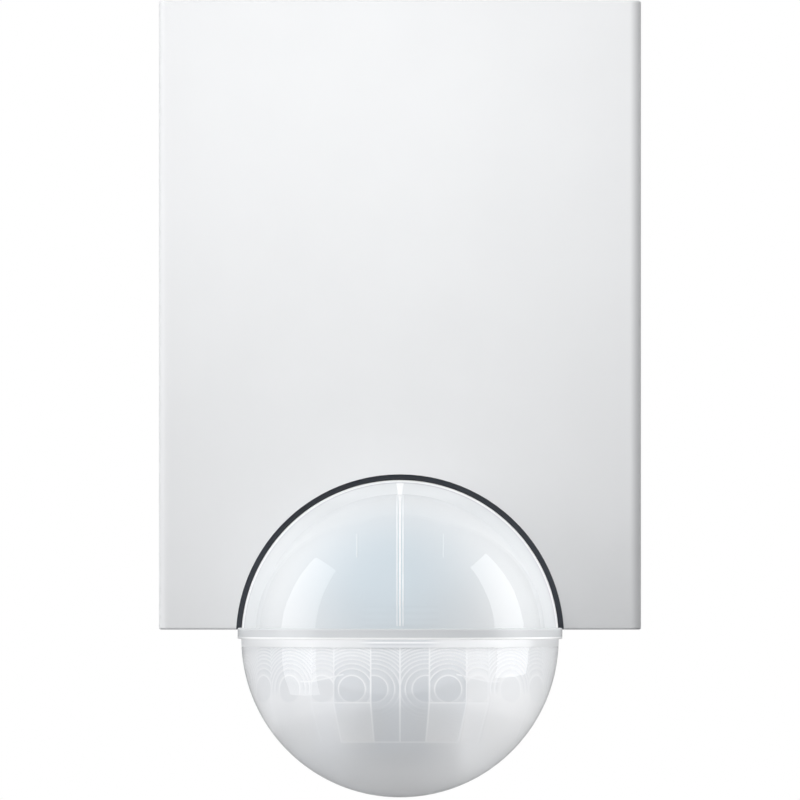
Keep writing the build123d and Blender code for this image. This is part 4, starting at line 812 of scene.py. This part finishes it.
def make_world():
    """White to the camera, and a soft grey room, lighter above and to the left, to everything else."""
    world = bpy.data.worlds.new("studio")
    world.use_nodes = True
    scene.world = world
    tree = world.node_tree
    tree.nodes.clear()
    direction = position(tree, "Generated")
    path = add_node(tree, "ShaderNodeLightPath")
    left_to_right = ranged(tree, direction["X"], -1.0, 1.0, 1.25, 0.6)
    overhead = ranged(tree, direction["Z"], 0.3, 1.0, 0.0, 0.6, "SMOOTHSTEP")
    strength = calculate(tree, "MULTIPLY_ADD", overhead, path.outputs["Is Glossy Ray"], left_to_right)
    height = ranged(tree, direction["Z"], -1.0, 1.0)
    room = add_node(tree, "ShaderNodeBackground")
    grey = blend_colours(tree, height, (0.20, 0.205, 0.21), (0.44, 0.445, 0.455))
    tree.links.new(grey, room.inputs["Color"])
    tree.links.new(strength, room.inputs["Strength"])
    white = add_node(tree, "ShaderNodeBackground")
    white.inputs["Color"].default_value = (1, 1, 1, 1)
    mixed = add_node(tree, "ShaderNodeMixShader")
    tree.links.new(path.outputs["Is Camera Ray"], mixed.inputs["Fac"])
    tree.links.new(room.outputs[0], mixed.inputs[1])
    tree.links.new(white.outputs[0], mixed.inputs[2])
    output = add_node(tree, "ShaderNodeOutputWorld")
    tree.links.new(mixed.outputs[0], output.inputs["Surface"])


def make_floor():
    """A pale round floor under the part, which doesn't darken the light that comes from below."""
    radius, level = 1.5, -0.125
    mesh_data = bmesh.new()
    bmesh.ops.create_circle(mesh_data, cap_ends=True, radius=radius, segments=96)
    mesh = to_mesh(mesh_data, "floor")
    floor = bpy.data.objects.new("floor", mesh)
    floor.location = (0, ball.y, level)
    pale = moulded("floor_pale", (0.92, 0.92, 0.92), 0.6, grain=1.5 * MM, tint=0.01)
    shader = pale.node_tree.nodes["Principled BSDF"]
    shader.inputs["Emission Color"].default_value = (1, 1, 1, 1)
    shader.inputs["Emission Strength"].default_value = 0.4
    mesh.materials.append(pale)
    floor.visible_glossy = False
    floor.visible_diffuse = False
    scene.collection.objects.link(floor)


def make_camera():
    """Straight in front, a little below the housing's middle."""
    view_width, view_height, distance = 0.15264, -0.0162, 6.0
    data = bpy.data.cameras.new("camera")
    data.sensor_width = 36.0
    data.lens = data.sensor_width * distance / view_width
    data.clip_end = 40.0
    camera = bpy.data.objects.new("camera", data)
    camera.location = (0, cover_low.y - distance, view_height)
    camera.rotation_euler = (math.radians(90), 0, 0)
    scene.collection.objects.link(camera)
    scene.camera = camera


def make_lights():
    """A near lamp and a fill for all, and soft boxes for the dome, the lens, the rear shell and the rest."""
    front = (-0.012, -0.234, 0.066)
    area_light("key", front, (front[0], 0, front[2]), 0.14, 0.14, 5.05, glossy=False)
    area_light("fill_left", (-0.9, -0.45, 0.1), ball, 0.6, 0.8, 1.0, glossy=False)
    meshes = [thing for thing in scene.collection.all_objects if thing.type == "MESH"]
    dome_names = ("upper_dome_shell", "dome_hood", "hood_", "light_guide")
    lens = [thing for thing in meshes if thing.name == "fresnel_lens"]
    dome = [thing for thing in meshes if thing.name.startswith(dome_names)]
    others = [thing for thing in meshes if thing not in lens + dome]
    rear = [thing for thing in meshes if thing.name.startswith("rear_shell")]
    # Name, side, azimuth, foot, width, length, roll, radiance and receivers
    side_box("dome_box_left", -1, 80, (0, -0.3), 0.573, 1.3, 0, 1.6, dome + others)
    side_box("dome_box_right", 1, 87.3, (0, -0.3), 0.517, 1.3, 0, 1.9, dome)
    side_box("lens_box_left", -1, 81.3, (0.0925, -0.6015), 0.56, 0.9, 14.9, 1.6, lens)
    side_box("lens_box_right", 1, 94.3, (0, -0.3458), 0.57, 0.6, 14, 1.9, lens)
    # Distance, width and height of the boxes near the head and behind the part
    near, behind = (0.5, 0.35, 0.5), (0.9, 0.7, 0.8)
    for name, azimuth, elevation, box, radiance, receivers in (
        ("dome_left", -108, 13, near, 3.7, dome),
        ("dome_right", 108, 13, near, 6.0, dome),
        ("dome_low", 20, -60, near, 1.9, dome),
        ("lens_left", -72, 0, near, 2.6, lens),
        ("lens_right", 76, 0, near, 5.0, lens),
        ("lens_low", 8, -80, near, 5.5, lens),
        ("back_left", -122, 20, behind, 2.3, others),
        ("back_right", 138, 20, behind, 2.8, others),
        ("back_low", 180, -35, behind, 2.0, rear),
        ("rear_left", -105, -12, near, 1.3, rear),
        ("rear_right", 105, -12, near, 1.6, rear),
        ("plate_left", -64, 5, (1.0, 0.6, 0.8), 0.9, others),
        ("top", 180, 76, (1.2, 1.2, 1.0), 1.1, others),
    ):
        soft_box(name, azimuth, elevation, *box, radiance, receivers)


make_world()
make_floor()
make_camera()
make_lights()

scene.view_settings.view_transform = "Standard"
scene.cycles.caustics_refractive = False
scene.cycles.caustics_reflective = False
scene.cycles.use_denoising = True
